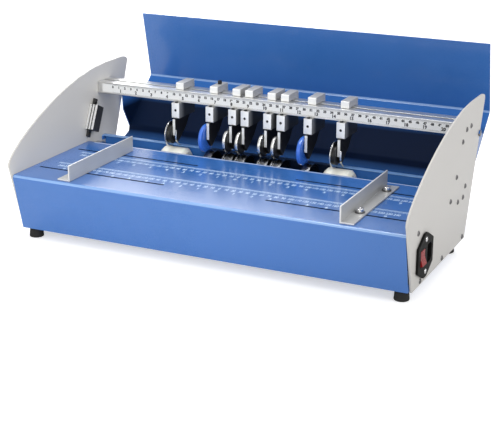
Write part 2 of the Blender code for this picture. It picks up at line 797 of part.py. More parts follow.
def gear_motor():
    """Gearbox that stands on the pan, with the motor on its left end."""
    back = PINION_Y + GEARBOX_BACK
    top = PINION_Z + GEARBOX_RISE
    bottom = PAN_Z + SHEET_T + GAP
    left = GEARBOX_RIGHT - GEARBOX_LENGTH
    outline = [(back - GEARBOX_DEPTH, bottom), (back, bottom), (back, top - GEARBOX_CHAMFER),
               (back - GEARBOX_CHAMFER, top), (back - GEARBOX_DEPTH + GEARBOX_CHAMFER, top),
               (back - GEARBOX_DEPTH, top - GEARBOX_CHAMFER)]
    box = cut_from_sheet("gear_motor", [outline], "YZ", left, GEARBOX_RIGHT)
    middle_y = back - GEARBOX_DEPTH / 2
    middle_z = bottom + MOTOR_R + MOTOR_LIFT
    can = rod("can", MOTOR_R, left - MOTOR_LENGTH, left + SEAM, middle_y, middle_z)
    end_cap = rod("end_cap", MOTOR_BACK_R, left - MOTOR_LENGTH - MOTOR_BACK_STEP,
                  left - MOTOR_LENGTH + SEAM, middle_y, middle_z)
    hole = rod("hole", MOTOR_SHAFT_R + GAP, GEARBOX_RIGHT - MOTOR_SHAFT_DEPTH,
               GEARBOX_RIGHT + OVERRUN, PINION_Y, PINION_Z, SMALL_SIDES)
    return settle(cut(joined(box, can, end_cap), hole), "motor_grey")


# Tool beam
def tool_beam():
    """Extrusion with a recess for the scale and a groove above and below."""
    front, back = BEAM_FRONT, BEAM_FRONT + BEAM_DEPTH
    bottom, top = BEAM_Z, BEAM_Z + BEAM_HEIGHT
    groove = front + BEAM_GROOVE_AT
    mouth = (groove, groove + BEAM_GROOVE_MOUTH)
    widen = (BEAM_GROOVE_WIDTH - BEAM_GROOVE_MOUTH) / 2
    wide = (mouth[0] - widen, mouth[1] + widen)

    def groove_points(face, inward):
        lip = face + inward * BEAM_GROOVE_LIP
        floor = face + inward * BEAM_GROOVE_DEPTH
        return [(mouth[0], face), (mouth[0], lip), (wide[0], lip), (wide[0], floor),
                (wide[1], floor), (wide[1], lip), (mouth[1], lip), (mouth[1], face)]

    outline = [(front, bottom), *groove_points(bottom, 1), (back, bottom), (back, top),
               *reversed(groove_points(top, -1)), (front, top), (front, top - BEAM_LIP),
               (front + SCALE_RECESS, top - BEAM_LIP), (front + SCALE_RECESS, bottom + BEAM_LIP),
               (front, bottom + BEAM_LIP)]
    end = HALF_WIDTH - GAP
    return settle(cut_from_sheet("tool_beam", [outline], "YZ", -end, end), "aluminium")


def beam_scale():
    seat = BEAM_FRONT + SCALE_RECESS - GAP
    strip = block("beam_scale", -SCALE_LENGTH / 2, SCALE_LENGTH / 2, seat - SCALE_T, seat,
                  BEAM_Z + BEAM_LIP + GAP, BEAM_Z + BEAM_HEIGHT - BEAM_LIP - GAP)
    return settle(strip, "scale_white")


# Creasing heads
def clamp_mesh():
    """Block that hangs under the beam, with a leg behind it and a cap that
    slides on top, and a pocket below for the arm's tongue."""
    back = CLAMP_BACK + CLAMP_LEG
    top = CLAMP_SEAT + CLAMP_CAP
    outline = [(CLAMP_FRONT, CLAMP_SEAT), (CLAMP_BACK, CLAMP_SEAT), (CLAMP_BACK, BLOCK_TOP),
               (BLOCK_FRONT, BLOCK_TOP), (BLOCK_FRONT, BLOCK_BOTTOM + BLOCK_CHAMFER),
               (BLOCK_FRONT + BLOCK_CHAMFER, BLOCK_BOTTOM), (back, BLOCK_BOTTOM),
               (back, top - BLOCK_CHAMFER), (back - BLOCK_CHAMFER, top), (CLAMP_FRONT + BLOCK_CHAMFER, top),
               (CLAMP_FRONT, top - BLOCK_CHAMFER)]
    clamp = cut_from_sheet("clamp", [outline], "YZ", -HEAD_WIDTH / 2, HEAD_WIDTH / 2)
    pocket = block("pocket", -ARM_T / 2 - GAP, ARM_T / 2 + GAP, TONGUE_FRONT - GAP,
                   TONGUE_FRONT + TONGUE_DEPTH + GAP, BLOCK_BOTTOM - OVERRUN,
                   ARM_TOP + TONGUE_HEIGHT + GAP)
    return mesh_of(baked(cut(clamp, pocket), "clamp"))


def arm_mesh(wheel_width):
    """Arm plate that tapers to the wheel, with the axle on its left side."""
    outline = [(TONGUE_FRONT, ARM_TOP), (TONGUE_FRONT, ARM_TOP + TONGUE_HEIGHT),
               (TONGUE_FRONT + TONGUE_DEPTH, ARM_TOP + TONGUE_HEIGHT),
               (TONGUE_FRONT + TONGUE_DEPTH, ARM_TOP), (ARM_BACK, ARM_TOP),
               (ARM_KNEE_BACK, ARM_TOP - ARM_KNEE_DROP)]
    lower = [(ARM_KNEE_BACK, ARM_TOP - ARM_KNEE_DROP), (ARM_HEEL_BACK, ARM_TOP - ARM_HEEL_DROP),
             (ARM_TOE_BACK, ARM_TOP - ARM_TOE_DROP), (-ARM_FRONT, ARM_TOP - ARM_CHIN_DROP),
             (-ARM_FRONT, ARM_TOP)]
    outline += rounded_line(lower, ARM_CORNER_R, 2)[1:]
    arm = cut_from_sheet("arm", [outline], "YZ", -ARM_T / 2, ARM_T / 2)
    wheel_left = -ARM_T / 2 - WHEEL_SIDE_GAP - wheel_width
    cap_right = wheel_left - GAP
    axle = turned("axle", [(0, 0), (AXLE_R, 0), (AXLE_R, cap_right),
                           (AXLE_CAP_R, cap_right), (AXLE_CAP_R, cap_right - AXLE_CAP_T),
                           (0, cap_right - AXLE_CAP_T)], SMALL_SIDES, closed=False)
    return mesh_of(baked(joined(arm, moved(axle, z=WHEEL_Z)), "arm"))


def wheel_mesh(kind):
    """Upper wheel of a pair, its right face beside the arm."""
    right = -ARM_T / 2 - WHEEL_SIDE_GAP
    bore = AXLE_R + GAP
    if kind == "feed":
        left = right - FEED_WHEEL_W
        disc = left + FEED_DISC_W
        steps = [(FEED_HUB_R, right), (FEED_HUB_R, disc), (FEED_WHEEL_R, disc), (FEED_WHEEL_R, left)]
    elif kind == "blade":
        left = right - BLADE_W
        dish = right - BLADE_FACE_DEPTH
        steps = [(BLADE_FACE_R - BLADE_FACE_DEPTH, dish), (BLADE_FACE_R, right), (BLADE_R, right),
                 (BLADE_R, left + BLADE_CHAMFER), (BLADE_R - BLADE_CHAMFER, left)]
    else:
        left = right - CREASE_WHEEL_W
        middle = (left + right) / 2
        rib = CREASE_RIB_W / 2
        rise = CREASE_RIB_R - CREASE_WHEEL_R
        steps = [(CREASE_WHEEL_R, right), (CREASE_WHEEL_R, middle + rib + rise),
                 (CREASE_RIB_R, middle + rib), (CREASE_RIB_R, middle - rib),
                 (CREASE_WHEEL_R, middle - rib - rise), (CREASE_WHEEL_R, left)]
    return mesh_of(turned(f"{kind}_wheel", ring_profile(bore, steps), WHEEL_SIDES))


def collar_mesh(kind):
    """Lower collar of a pair, on the driven shaft."""
    bore = SHAFT_R + GAP
    if kind == "feed":
        end = FEED_COLLAR_W / 2
        small = FEED_COLLAR_R - FEED_COLLAR_CHAMFER
        steps = [(small, end), (FEED_COLLAR_R, end - FEED_COLLAR_CHAMFER),
                 (FEED_COLLAR_R, -end + FEED_COLLAR_CHAMFER), (small, -end)]
    else:
        small = TOOL_COLLAR_R - COLLAR_CHAMFER
        if kind == "blade":
            left = -ARM_T / 2 - WHEEL_SIDE_GAP + BLADE_CLEARANCE
            right = left + BLADE_COLLAR_W
            groove = []
        else:
            middle = -ARM_T / 2 - WHEEL_SIDE_GAP - CREASE_WHEEL_W / 2
            left = middle - CREASE_COLLAR_EDGE
            right = left + CREASE_COLLAR_W
            floor = TOOL_COLLAR_R - CREASE_GROOVE_DEPTH
            high, low = middle + CREASE_GROOVE_W / 2, middle - CREASE_GROOVE_W / 2
            groove = [(TOOL_COLLAR_R, high), (floor, high), (floor, low), (TOOL_COLLAR_R, low)]
        steps = [(small, right), (TOOL_COLLAR_R, right - COLLAR_CHAMFER), *groove,
                 (TOOL_COLLAR_R, left + COLLAR_CHAMFER), (small, left)]
    return mesh_of(turned(f"{kind}_collar", ring_profile(bore, steps), WHEEL_SIDES))


WHEEL_WIDTHS = {"feed": FEED_WHEEL_W, "blade": BLADE_W, "crease": CREASE_WHEEL_W}
WHEEL_PAINTS = {"feed": "dark_steel", "blade": "blue_wheel", "crease": "steel"}
COLLAR_PAINTS = {"feed": "cream_nylon", "blade": "steel", "crease": "steel"}


def heads():
    """Eight clamps, arms, wheels and collars, each shape made once and its
    copies set along the beam."""
    clamp = clamp_mesh()
    shapes = {}
    for kind, width in WHEEL_WIDTHS.items():
        shapes[kind] = (arm_mesh(width), wheel_mesh(kind), collar_mesh(kind))
    for number, (kind, x) in enumerate(HEADS, start=1):
        arm, wheel, collar = shapes[kind]
        for label, mesh, height, colour in (
                ("head_clamp", clamp, 0, "aluminium"), ("head_arm", arm, 0, "dark_steel"),
                ("head_wheel", wheel, WHEEL_Z, WHEEL_PAINTS[kind]),
                ("shaft_collar", collar, SHAFT_Z, COLLAR_PAINTS[kind])):
            piece = bpy.data.objects.new(f"{label}_{number}", mesh)
            piece.location = (x, 0, height)
            settle(piece, colour)


# Rear cover
def cover_corners():
    """Corners of the cover's inner face from its free edge to its lip."""
    return [(COVER_EDGE_BACK, COVER_EDGE_UP), (COVER_BEND_BACK, COVER_BEND_UP),
            (COVER_FOLD_BACK, -COVER_FOLD_DOWN), (COVER_LIP_BACK, -COVER_LIP_DOWN),
            (-COVER_TOE_AHEAD, -COVER_TOE_DOWN)]


def cheek_outline():
    """End plate of the cover, from the lug at the hinge to the lower panel."""
    _, bend, fold, lip, _ = [Vector(corner) for corner in cover_corners()]
    along = (bend - fold).normalized()
    behind = Vector((along.y, -along.x)) * SEAM
    far = fold + (bend - fold) * CHEEK_SHARE
    lug = arc((0, 0), CHEEK_LUG_R, math.radians(60), math.radians(190), ROUND_STEPS)
    waist = (-CHEEK_AHEAD, -CHEEK_WAIST_DOWN)
    low = fold.lerp(lip, CHEEK_LIP_SHARE) - Vector((SEAM, 0))
    return [tuple(far + behind), *lug, waist, tuple(low), tuple(fold + behind + along * SEAM)]


def rear_cover():
    """Folded sheet with an end plate and a pivot stud on each side."""
    cover = folded_sheet("rear_cover", rounded_line(cover_corners(), BEND_R), COVER_HALF)
    for side in (-1, 1):
        outer = COVER_HALF - CHEEK_SET
        levels = sorted((side * outer, side * (outer - SHEET_T)))
        head_in = PLATE_OUTER + GAP
        stud = rod("stud", PIVOT_R, *sorted((side * (outer - SEAM), side * (head_in + SEAM))), 0, 0,
                   SMALL_SIDES)
        head = rod("stud_head", PIVOT_HEAD_R, *sorted((side * head_in, side * (head_in + PIVOT_HEAD_T))),
                   0, 0, SMALL_SIDES)
        joined(cover, cut_from_sheet("cheek", [cheek_outline()], "YZ", *levels), stud, head)
    cover.location = (0, HINGE_BACK, HINGE_Z)
    for step in cover.modifiers:
        if step.type == "BOOLEAN":
            step.object.location = cover.location
    return settle(cover, "blue_paint")


# Magnet catches
def magnet_catch(name, side):
    """Catch on the inside of a plate, square to the closed cover's panel."""
    edge = Vector((COVER_EDGE_BACK, COVER_EDGE_UP))
    bend = Vector((COVER_BEND_BACK, COVER_BEND_UP))
    along = (edge - bend).normalized()
    reach = abs(bend.x * along.y - bend.y * along.x) - GAP
    down = Matrix.Rotation(COVER_SWING, 2) @ along
    inward = Vector((-down.y, down.x))
    hinge = Vector((HINGE_BACK, HINGE_Z))

    def at(run, depth):
        """Point a run down the pole face and a depth behind it."""
        return tuple(hinge - inward * (reach - depth) + down * run)

    middle = CATCH_REACH
    half = CATCH_LENGTH / 2
    groove_half = CATCH_GROOVE_W / 2
    body_loop = [at(middle - half, 0), at(middle + half, 0), at(middle + half, CATCH_DEPTH),
                 at(middle - half, CATCH_DEPTH)]
    x_out = HALF_WIDTH - GAP
    body = cut_from_sheet(name, [body_loop], "YZ", *sorted((side * (x_out - CATCH_WIDTH), side * x_out)))
    for end in (-1, 1):
        near = middle + end * (half - SEAM)
        far = middle + end * (half + CATCH_LUG_LENGTH)
        behind = CATCH_LUG_SET + CATCH_LUG_DEPTH
        lug_loop = [at(near, CATCH_LUG_SET), at(far, CATCH_LUG_SET), at(far, behind), at(near, behind)]
        joined(body, cut_from_sheet("lug", [lug_loop], "YZ",
                                    *sorted((side * (x_out - CATCH_LUG_T), side * x_out))))
    for share in (1, 2):
        x = side * (x_out - CATCH_WIDTH * share / 3)
        groove = [at(middle - half - OVERRUN, CATCH_GROOVE_DEPTH), at(middle - half - OVERRUN, -OVERRUN),
                  at(middle + half + OVERRUN, -OVERRUN), at(middle + half + OVERRUN, CATCH_GROOVE_DEPTH)]
        cut(body, cut_from_sheet("groove", [groove], "YZ", x - groove_half, x + groove_half))
    return settle(body, "dark_steel")


# Power inlet
def power_inlet():
    """Six-sided flange with a socket and a well for the rocker."""
    centre_y = -INLET_AHEAD
    half_wide, half_high = INLET_HALF_WIDTH, INLET_HALF_HEIGHT
    flange_loop = [(centre_y + y, INLET_Z + z) for y, z in (
        (-INLET_EAR, -half_high), (INLET_EAR, -half_high), (half_wide, -INLET_SHOULDER),
        (half_wide, INLET_SHOULDER), (INLET_EAR, half_high), (-INLET_EAR, half_high),
        (-half_wide, INLET_SHOULDER), (-half_wide, -INLET_SHOULDER))]
    seat = PLATE_OUTER + GAP
    inlet = cut_from_sheet("power_inlet", [flange_loop], "YZ", seat, INLET_FACE)
    body = block("inlet_body", INLET_FACE - INLET_FLANGE_T - INLET_BODY_DEPTH, seat + SEAM,
                 centre_y - INLET_BODY_HALF_WIDTH, centre_y + INLET_BODY_HALF_WIDTH,
                 INLET_Z - INLET_BODY_HALF_HEIGHT, INLET_Z + INLET_BODY_HALF_HEIGHT)
    joined(inlet, body)
    mouth_y = centre_y + SOCKET_ASIDE
    wide, high, corner = SOCKET_HALF_WIDTH, SOCKET_HALF_HEIGHT, SOCKET_CORNER
    mouth = [(mouth_y + y, INLET_Z + z) for y, z in (
        (-wide, -high), (wide - corner, -high), (wide, corner - high), (wide, high - corner),
        (wide - corner, high), (-wide, high))]
    floor = INLET_FACE - SOCKET_DEPTH
    cut(inlet, cut_from_sheet("socket", [mouth], "YZ", floor, INLET_FACE + OVERRUN))
    for y, z in ((-PIN_OFFSET, -PIN_SPACING), (PIN_OFFSET, 0), (-PIN_OFFSET, PIN_SPACING)):
        joined(inlet, block("pin", floor - SEAM, floor + PIN_LENGTH, mouth_y + y - PIN_H / 2,
                            mouth_y + y + PIN_H / 2, INLET_Z + z - PIN_W / 2, INLET_Z + z + PIN_W / 2))
    well_y = centre_y - ROCKER_ASIDE
    half_well = ROCKER_HALF_HEIGHT + ROCKER_END_GAP
    cut(inlet, block("well", INLET_FACE - ROCKER_WELL_DEPTH, INLET_FACE + OVERRUN,
                     well_y - ROCKER_HALF_WIDTH - GAP, well_y + ROCKER_HALF_WIDTH + GAP,
                     INLET_Z - half_well, INLET_Z + half_well))
    return settle(inlet, "black_plastic")


def rocker_switch():
    """Rocker with a shallow valley, its upper end pressed in."""
    outline = [(-ROCKER_BACK, -ROCKER_HALF_HEIGHT), (ROCKER_CREST, -ROCKER_HALF_HEIGHT),
               (ROCKER_VALLEY, 0), (ROCKER_CREST, ROCKER_HALF_HEIGHT),
               (-ROCKER_BACK, ROCKER_HALF_HEIGHT)]
    rocker = cut_from_sheet("rocker_switch", [outline], "XZ", -ROCKER_HALF_WIDTH, ROCKER_HALF_WIDTH)
    rocker.data.transform(Matrix.Rotation(-ROCKER_TILT, 4, "Y"))
    rocker.location = (INLET_FACE - ROCKER_AXIS_DEPTH, -INLET_AHEAD - ROCKER_ASIDE, INLET_Z)
    return settle(rocker, "red_switch")


# Paper guides
def paper_guide(name, side):
    """Angle that stands on the table, its foot outwards, with two holes."""
    seat = TABLE_Z + GAP
    upright = side * GUIDE_X
    inner, outer = upright - side * GUIDE_T / 2, upright + side * GUIDE_T / 2
    foot_end = outer + side * GUIDE_FOOT
    outline = [(inner, seat), (foot_end, seat), (foot_end, seat + GUIDE_T),
               (outer, seat + GUIDE_T), (outer, seat + GUIDE_HEIGHT), (inner, seat + GUIDE_HEIGHT)]
    guide = cut_from_sheet(name, [outline], "XZ", GUIDE_REAR, GUIDE_FRONT)
    for back in (FRONT_SLOT, REAR_SLOT):
        hole = circle((upright + side * GUIDE_SCREW_ASIDE, -back), GUIDE_HOLE_R, SMALL_SIDES)
        cut(guide, cut_from_sheet("hole", [hole], "XY", seat - OVERRUN, seat + GUIDE_T + OVERRUN))
    guide = baked(guide, name)
    return settle(origin_at(guide, upright, -GUIDE_FRONT, seat), "aluminium")


def screw_mesh():
    """Clamping screw with its nut, from the head down, its zero on the
    table's top."""
    seat = 2 * GAP + GUIDE_T
    head = seat + SCREW_HEAD_H
    nut = -SHEET_T - GAP
    profile = [(0, head - SCREW_SOCKET_DEPTH), (SCREW_SOCKET_R, head - SCREW_SOCKET_DEPTH),
               (SCREW_SOCKET_R, head), (SCREW_HEAD_R - SCREW_DOME, head),
               (SCREW_HEAD_R, head - SCREW_DOME), (SCREW_HEAD_R, seat), (SCREW_R, seat),
               (SCREW_R, nut), (SCREW_NUT_R, nut), (SCREW_NUT_R, nut - SCREW_NUT_T),
               (0, nut - SCREW_NUT_T)]
    return mesh_of(turned("screw", profile, SMALL_SIDES, closed=False, upright=True))


def guides():
    screw = screw_mesh()
    for label, side in (("left", -1), ("right", 1)):
        paper_guide(f"{label}_guide", side)
        for row, back in (("front", FRONT_SLOT), ("rear", REAR_SLOT)):
            piece = bpy.data.objects.new(f"{label}_guide_screw_{row}", screw)
            piece.location = (side * (GUIDE_X + GUIDE_SCREW_ASIDE), -back, TABLE_Z)
            settle(piece, "chrome")


def stand_on_origin(root):
    """Moves the machine so that the middle of its footprint is at zero."""
    bpy.context.view_layer.update()
    deps = bpy.context.evaluated_depsgraph_get()
    corners = []
    for piece in Shop.parts.objects:
        if piece.type == "MESH":
            solid = piece.evaluated_get(deps)
            corners += [solid.matrix_world @ vertex.co for vertex in solid.data.vertices]
    for axis in (0, 1):
        low = min(corner[axis] for corner in corners)
        high = max(corner[axis] for corner in corners)
        root.location[axis] -= (low + high) / 2


def build_machine():
    clear_scene()
    Shop.parts = new_collection("electric_creasing_machine")
    Shop.cutters = new_collection("cutters")
    Shop.root = bpy.data.objects.new("machine", None)
    Shop.parts.objects.link(Shop.root)
    Shop.paints = {
        "blue_paint": paint("blue_paint", (0.045, 0.165, 0.56), 0.42),
        "plate_white": paint("plate_white", (0.62, 0.60, 0.57), 0.45),
        "aluminium": paint("aluminium", (0.72, 0.72, 0.71), 0.35, 0.9),
        "scale_white": paint("scale_white", (0.83, 0.83, 0.81), 0.5),
        "steel": paint("steel", (0.66, 0.66, 0.67), 0.25, 1.0),
        "chrome": paint("chrome", (0.80, 0.80, 0.80), 0.12, 1.0),
        "dark_steel": paint("dark_steel", (0.05, 0.05, 0.055), 0.4, 0.6),
        "cream_nylon": paint("cream_nylon", (0.84, 0.80, 0.66), 0.4),
        "blue_wheel": paint("blue_wheel", (0.03, 0.13, 0.62), 0.3),
        "black_rubber": paint("black_rubber", (0.012, 0.012, 0.012), 0.8),
        "black_plastic": paint("black_plastic", (0.02, 0.02, 0.02), 0.5),
        "red_switch": paint("red_switch", (0.55, 0.02, 0.015), 0.3),
        "motor_grey": paint("motor_grey", (0.18, 0.18, 0.19), 0.5, 0.5),
    }
    side_plate("left_side_plate", -1)
    side_plate("right_side_plate", 1)
    table_housing()
    rear_panel()
    base_pan()
    feet()
    drive_shaft()
    shaft_bearing("shaft_bearing_left", -1)
    shaft_bearing("shaft_bearing_right", 1)
    shaft_gear()
    motor_pinion()
    gear_motor()
    tool_beam()
    beam_scale()
    heads()
    rear_cover()
    magnet_catch("magnet_catch_left", -1)
    magnet_catch("magnet_catch_right", 1)
    power_inlet()
    rocker_switch()
    guides()
    stand_on_origin(Shop.root)


build_machine()
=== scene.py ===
import json
import math

import bmesh
import bpy
from mathutils import Matrix, Vector


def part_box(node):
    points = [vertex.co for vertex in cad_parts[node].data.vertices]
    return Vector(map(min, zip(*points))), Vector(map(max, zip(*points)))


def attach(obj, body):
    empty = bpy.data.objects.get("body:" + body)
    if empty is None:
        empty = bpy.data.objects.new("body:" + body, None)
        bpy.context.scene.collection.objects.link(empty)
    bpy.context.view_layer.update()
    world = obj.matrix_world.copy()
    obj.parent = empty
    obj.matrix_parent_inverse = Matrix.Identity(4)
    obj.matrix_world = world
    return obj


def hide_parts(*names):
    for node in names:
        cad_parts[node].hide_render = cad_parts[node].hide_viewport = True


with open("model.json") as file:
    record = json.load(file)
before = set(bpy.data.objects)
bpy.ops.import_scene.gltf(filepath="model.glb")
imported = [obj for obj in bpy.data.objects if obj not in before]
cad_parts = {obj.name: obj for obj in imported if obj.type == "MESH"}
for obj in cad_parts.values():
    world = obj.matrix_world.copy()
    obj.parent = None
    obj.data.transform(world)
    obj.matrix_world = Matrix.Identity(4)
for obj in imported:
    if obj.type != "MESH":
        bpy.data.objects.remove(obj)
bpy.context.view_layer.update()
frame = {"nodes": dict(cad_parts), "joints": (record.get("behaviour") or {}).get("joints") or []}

MM = 0.001

# Viewpoint
# The machine is seen from its front right and a little above. Its middle is
# halfway between the side plates, on the driven shaft.
plate_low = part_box("left_side_plate")[0]
plate_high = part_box("right_side_plate")[1]
shaft_low, shaft_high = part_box("drive_shaft")
MIDDLE_X = (plate_low.x + plate_high.x) / 2
SHAFT_Y = (shaft_low.y + shaft_high.y) / 2
SHAFT_Z = (shaft_low.z + shaft_high.z) / 2
EYE_FROM_SHAFT = Vector((705.9 * MM, -1559.3 * MM, 593.9 * MM))
VIEW_TURN = math.radians(25.18)
VIEW_DIP = math.radians(18.56)
VIEW_ROLL = math.radians(0.25)
SENSOR_WIDTH = 36
LENS_LENGTH = 93.45
NEAREST = 50 * MM

back = Vector((math.sin(VIEW_TURN) * math.cos(VIEW_DIP), -math.cos(VIEW_TURN) * math.cos(VIEW_DIP),
               math.sin(VIEW_DIP)))
level = Vector((math.cos(VIEW_TURN), math.sin(VIEW_TURN), 0))
upright = back.cross(level)
right = math.cos(VIEW_ROLL) * level + math.sin(VIEW_ROLL) * upright
up = math.cos(VIEW_ROLL) * upright - math.sin(VIEW_ROLL) * level
camera = bpy.data.objects.new("camera", bpy.data.cameras.new("camera"))
camera.data.sensor_width = SENSOR_WIDTH
camera.data.lens = LENS_LENGTH
camera.data.clip_start = NEAREST
camera.location = Vector((MIDDLE_X, SHAFT_Y, 0)) + EYE_FROM_SHAFT
camera.rotation_euler = Matrix((right, up, back)).transposed().to_euler()
bpy.context.scene.collection.objects.link(camera)
bpy.context.scene.camera = camera


# Studio
# A plain white room with large soft lamps. The floor is white and keeps the
# machine's shadow.
class Value:
    """A socket of a tree's nodes, which sums can be written with."""

    def __init__(self, nodes, socket):
        self.nodes = nodes
        self.socket = socket

    def sum(self, operation, first, second):
        return self.nodes.node("ShaderNodeMath", {"operation": operation}, {0: first, 1: second})

    def __add__(self, other):
        return self.sum("ADD", self, other)

    __radd__ = __add__

    def __sub__(self, other):
        return self.sum("SUBTRACT", self, other)

    def __rsub__(self, other):
        return self.sum("SUBTRACT", other, self)

    def __mul__(self, other):
        return self.sum("MULTIPLY", self, other)

    __rmul__ = __mul__

    def __pow__(self, other):
        return self.sum("POWER", self, other)


class Nodes:
    """A tree of nodes, which are added one at a time."""

    def __init__(self, tree):
        self.tree = tree

    def node(self, kind, settings=None, inputs=None, output=0):
        node = self.tree.nodes.new(kind)
        for name, value in (settings or {}).items():
            setattr(node, name, value)
        for socket, value in (inputs or {}).items():
            if isinstance(value, Value):
                self.tree.links.new(value.socket, node.inputs[socket])
            else:
                node.inputs[socket].default_value = value
        return Value(self, node.outputs[output])


class Finish(Nodes):
    """A surface finish. What is the same all over is given by socket name."""

    def __init__(self, name, **fixed):
        self.material = bpy.data.materials.new(name)
        self.material.use_nodes = True
        super().__init__(self.material.node_tree)
        self.shader = self.tree.nodes["Principled BSDF"]
        for socket, value in fixed.items():
            self.shader.inputs[socket.replace("_", " ").title().replace("Ior", "IOR")].default_value = value

    def along(self, axis):
        """The place on the machine along one axis, in metres."""
        spot = self.node("ShaderNodeTexCoord", output="Object")
        return self.node("ShaderNodeSeparateXYZ", {}, {0: spot}, output=axis)

    def place(self, stretch=(1, 1, 1)):
        """The point on the machine, in metres, stretched along its axes."""
        spot = self.node("ShaderNodeTexCoord", output="Object")
        return self.node("ShaderNodeMapping", {}, {"Vector": spot, "Scale": stretch})

    def noise(self, per_metre, detail=2.0, stretch=(1, 1, 1), spot=None):
        return self.node("ShaderNodeTexNoise", {},
                         {"Vector": spot or self.place(stretch), "Scale": per_metre, "Detail": detail})

    def mixed(self, factor, first, second):
        first, second = (colour if isinstance(colour, Value) else (*colour, 1) for colour in (first, second))
        return self.node("ShaderNodeMix", {"data_type": "RGBA"}, {0: factor, 6: first, 7: second}, output=2)

    def band(self, value, low, high):
        """Zero below low, one above high, and a ramp between."""
        return self.node("ShaderNodeMapRange", {},
                         {"Value": value, "From Min": low, "From Max": high})

    def feed(self, **sockets):
        for socket, value in sockets.items():
            self.tree.links.new(value.socket, self.shader.inputs[socket.replace("_", " ").title()])

    def bump(self, height, depth):
        normal = self.node("ShaderNodeBump", {}, {"Height": height, "Distance": depth, "Strength": 1.0})
        self.feed(normal=normal)


WHITE = (1, 1, 1, 1)
AMBIENT = 0.53
MIRRORED_WHITE = 0.8
bpy.context.scene.view_settings.view_transform = "Standard"
world = bpy.data.worlds.new("studio")
world.use_nodes = True
bpy.context.scene.world = world
sky = Nodes(world.node_tree)
ambient = sky.tree.nodes["Background"]
ambient.inputs["Color"].default_value = WHITE
ambient.inputs["Strength"].default_value = AMBIENT
rays = sky.tree.nodes.new("ShaderNodeLightPath")
seen, mirrored, through = (Value(sky, rays.outputs[f"Is {kind} Ray"])
                           for kind in ("Camera", "Glossy", "Transmission"))
direct = seen.sum("MAXIMUM", seen.sum("MAXIMUM", seen, mirrored), through)
backdrop = sky.node("ShaderNodeBackground", {},
                    {"Color": WHITE, "Strength": seen * (1 - MIRRORED_WHITE) + MIRRORED_WHITE})
either = sky.node("ShaderNodeMixShader", {}, {0: direct, 1: Value(sky, ambient.outputs[0]), 2: backdrop})
sky.tree.links.new(either.socket, sky.tree.nodes["World Output"].inputs["Surface"])


def lamp(name, place, aim, width, height, watts, spread=180, tint=(1, 1, 1)):
    light = bpy.data.lights.new(name, "AREA")
    light.color = tint
    light.shape = "RECTANGLE"
    light.size = width
    light.size_y = height
    light.energy = watts
    light.spread = math.radians(spread)
    holder = bpy.data.objects.new(name, light)
    holder.location = place
    holder.rotation_euler = (Vector(place) - Vector(aim)).to_track_quat("Z", "Y").to_euler()
    bpy.context.scene.collection.objects.link(holder)


lamp("front_lamp", (0.25, -0.9, 0.45), (-0.28, 0, 0.16), 0.5, 0.5, 0.84, 70, (1, 0.99, 0.92))
lamp("fill_lamp", (-0.8, -1.9, 0.7), (0, 0, 0.1), 1.8, 1.0, 4, tint=(1, 0.99, 0.92))
lamp("right_lamp", (3.0, -1.0, 2.0), (-0.2, 0, 0.1), 2.0, 1.6, 38)
lamp("strip_lamp", (-0.35, 0.1, 1.7), (0, 0, 0), 1.8, 0.08, 11)
lamp("back_lamp", (-1.2, 1.75, 1.25), (-0.1, -0.15, 0.09), 1.0, 0.5, 14)


def meshed(shape, name):
    """The mesh of a finished shape."""
    mesh = bpy.data.meshes.new(name)
    shape.to_mesh(mesh)
    shape.free()
    return mesh


def in_scene(name, mesh, *finishes):
    """A new piece with this mesh and these finishes."""
    for finish in finishes:
        mesh.materials.append(finish.material)
    piece = bpy.data.objects.new(name, mesh)
    bpy.context.scene.collection.objects.link(piece)
    return piece


FLOOR_REACH = 6
FLOOR_GLOW = 0.5
white_floor = Finish("white_floor", base_color=(0.9, 0.9, 0.9, 1), roughness=0.9, specular_ior_level=0.1,
                     emission_color=WHITE)
matt = Value(white_floor, white_floor.shader.outputs[0])
glow = white_floor.node("ShaderNodeEmission", {}, {"Color": WHITE, "Strength": FLOOR_GLOW})
lit = white_floor.node("ShaderNodeAddShader", {}, {0: matt, 1: glow})
floor_seen = white_floor.node("ShaderNodeLightPath", output="Is Camera Ray")
choice = white_floor.node("ShaderNodeMixShader", {}, {0: floor_seen, 1: matt, 2: lit})
white_floor.tree.links.new(choice.socket, white_floor.tree.nodes["Material Output"].inputs["Surface"])
floor_shape = bmesh.new()
bmesh.ops.create_grid(floor_shape, x_segments=1, y_segments=1, size=FLOOR_REACH)
floor = in_scene("floor", meshed(floor_shape, "floor"), white_floor)


# Side plates
# Two flat plates of 2.5 mm steel, cut to a curved outline and powder coated
# a warm white. Every inner part is screwed to them from outside.
def tidy_copy(node):
    """A CAD piece's surface with its loose triangles joined into faces."""
    shape = bmesh.new()
    shape.from_mesh(frame["nodes"][node].data)
    bmesh.ops.remove_doubles(shape, verts=shape.verts, dist=0.002 * MM)
    bmesh.ops.dissolve_limit(shape, angle_limit=math.radians(0.3), verts=shape.verts, edges=shape.edges)
    return meshed(shape, node)


def flattened(piece):
    """The piece with its modifiers applied and its mesh in place."""
    bpy.context.view_layer.update()
    deps = bpy.context.evaluated_depsgraph_get()
    mesh = bpy.data.meshes.new_from_object(piece.evaluated_get(deps), depsgraph=deps)
    piece.modifiers.clear()
    piece.data = mesh
    return piece


def smooth(piece, angle=35):
    piece.data.shade_smooth()
    piece.data.set_sharp_from_angle(angle=math.radians(angle))
    return piece


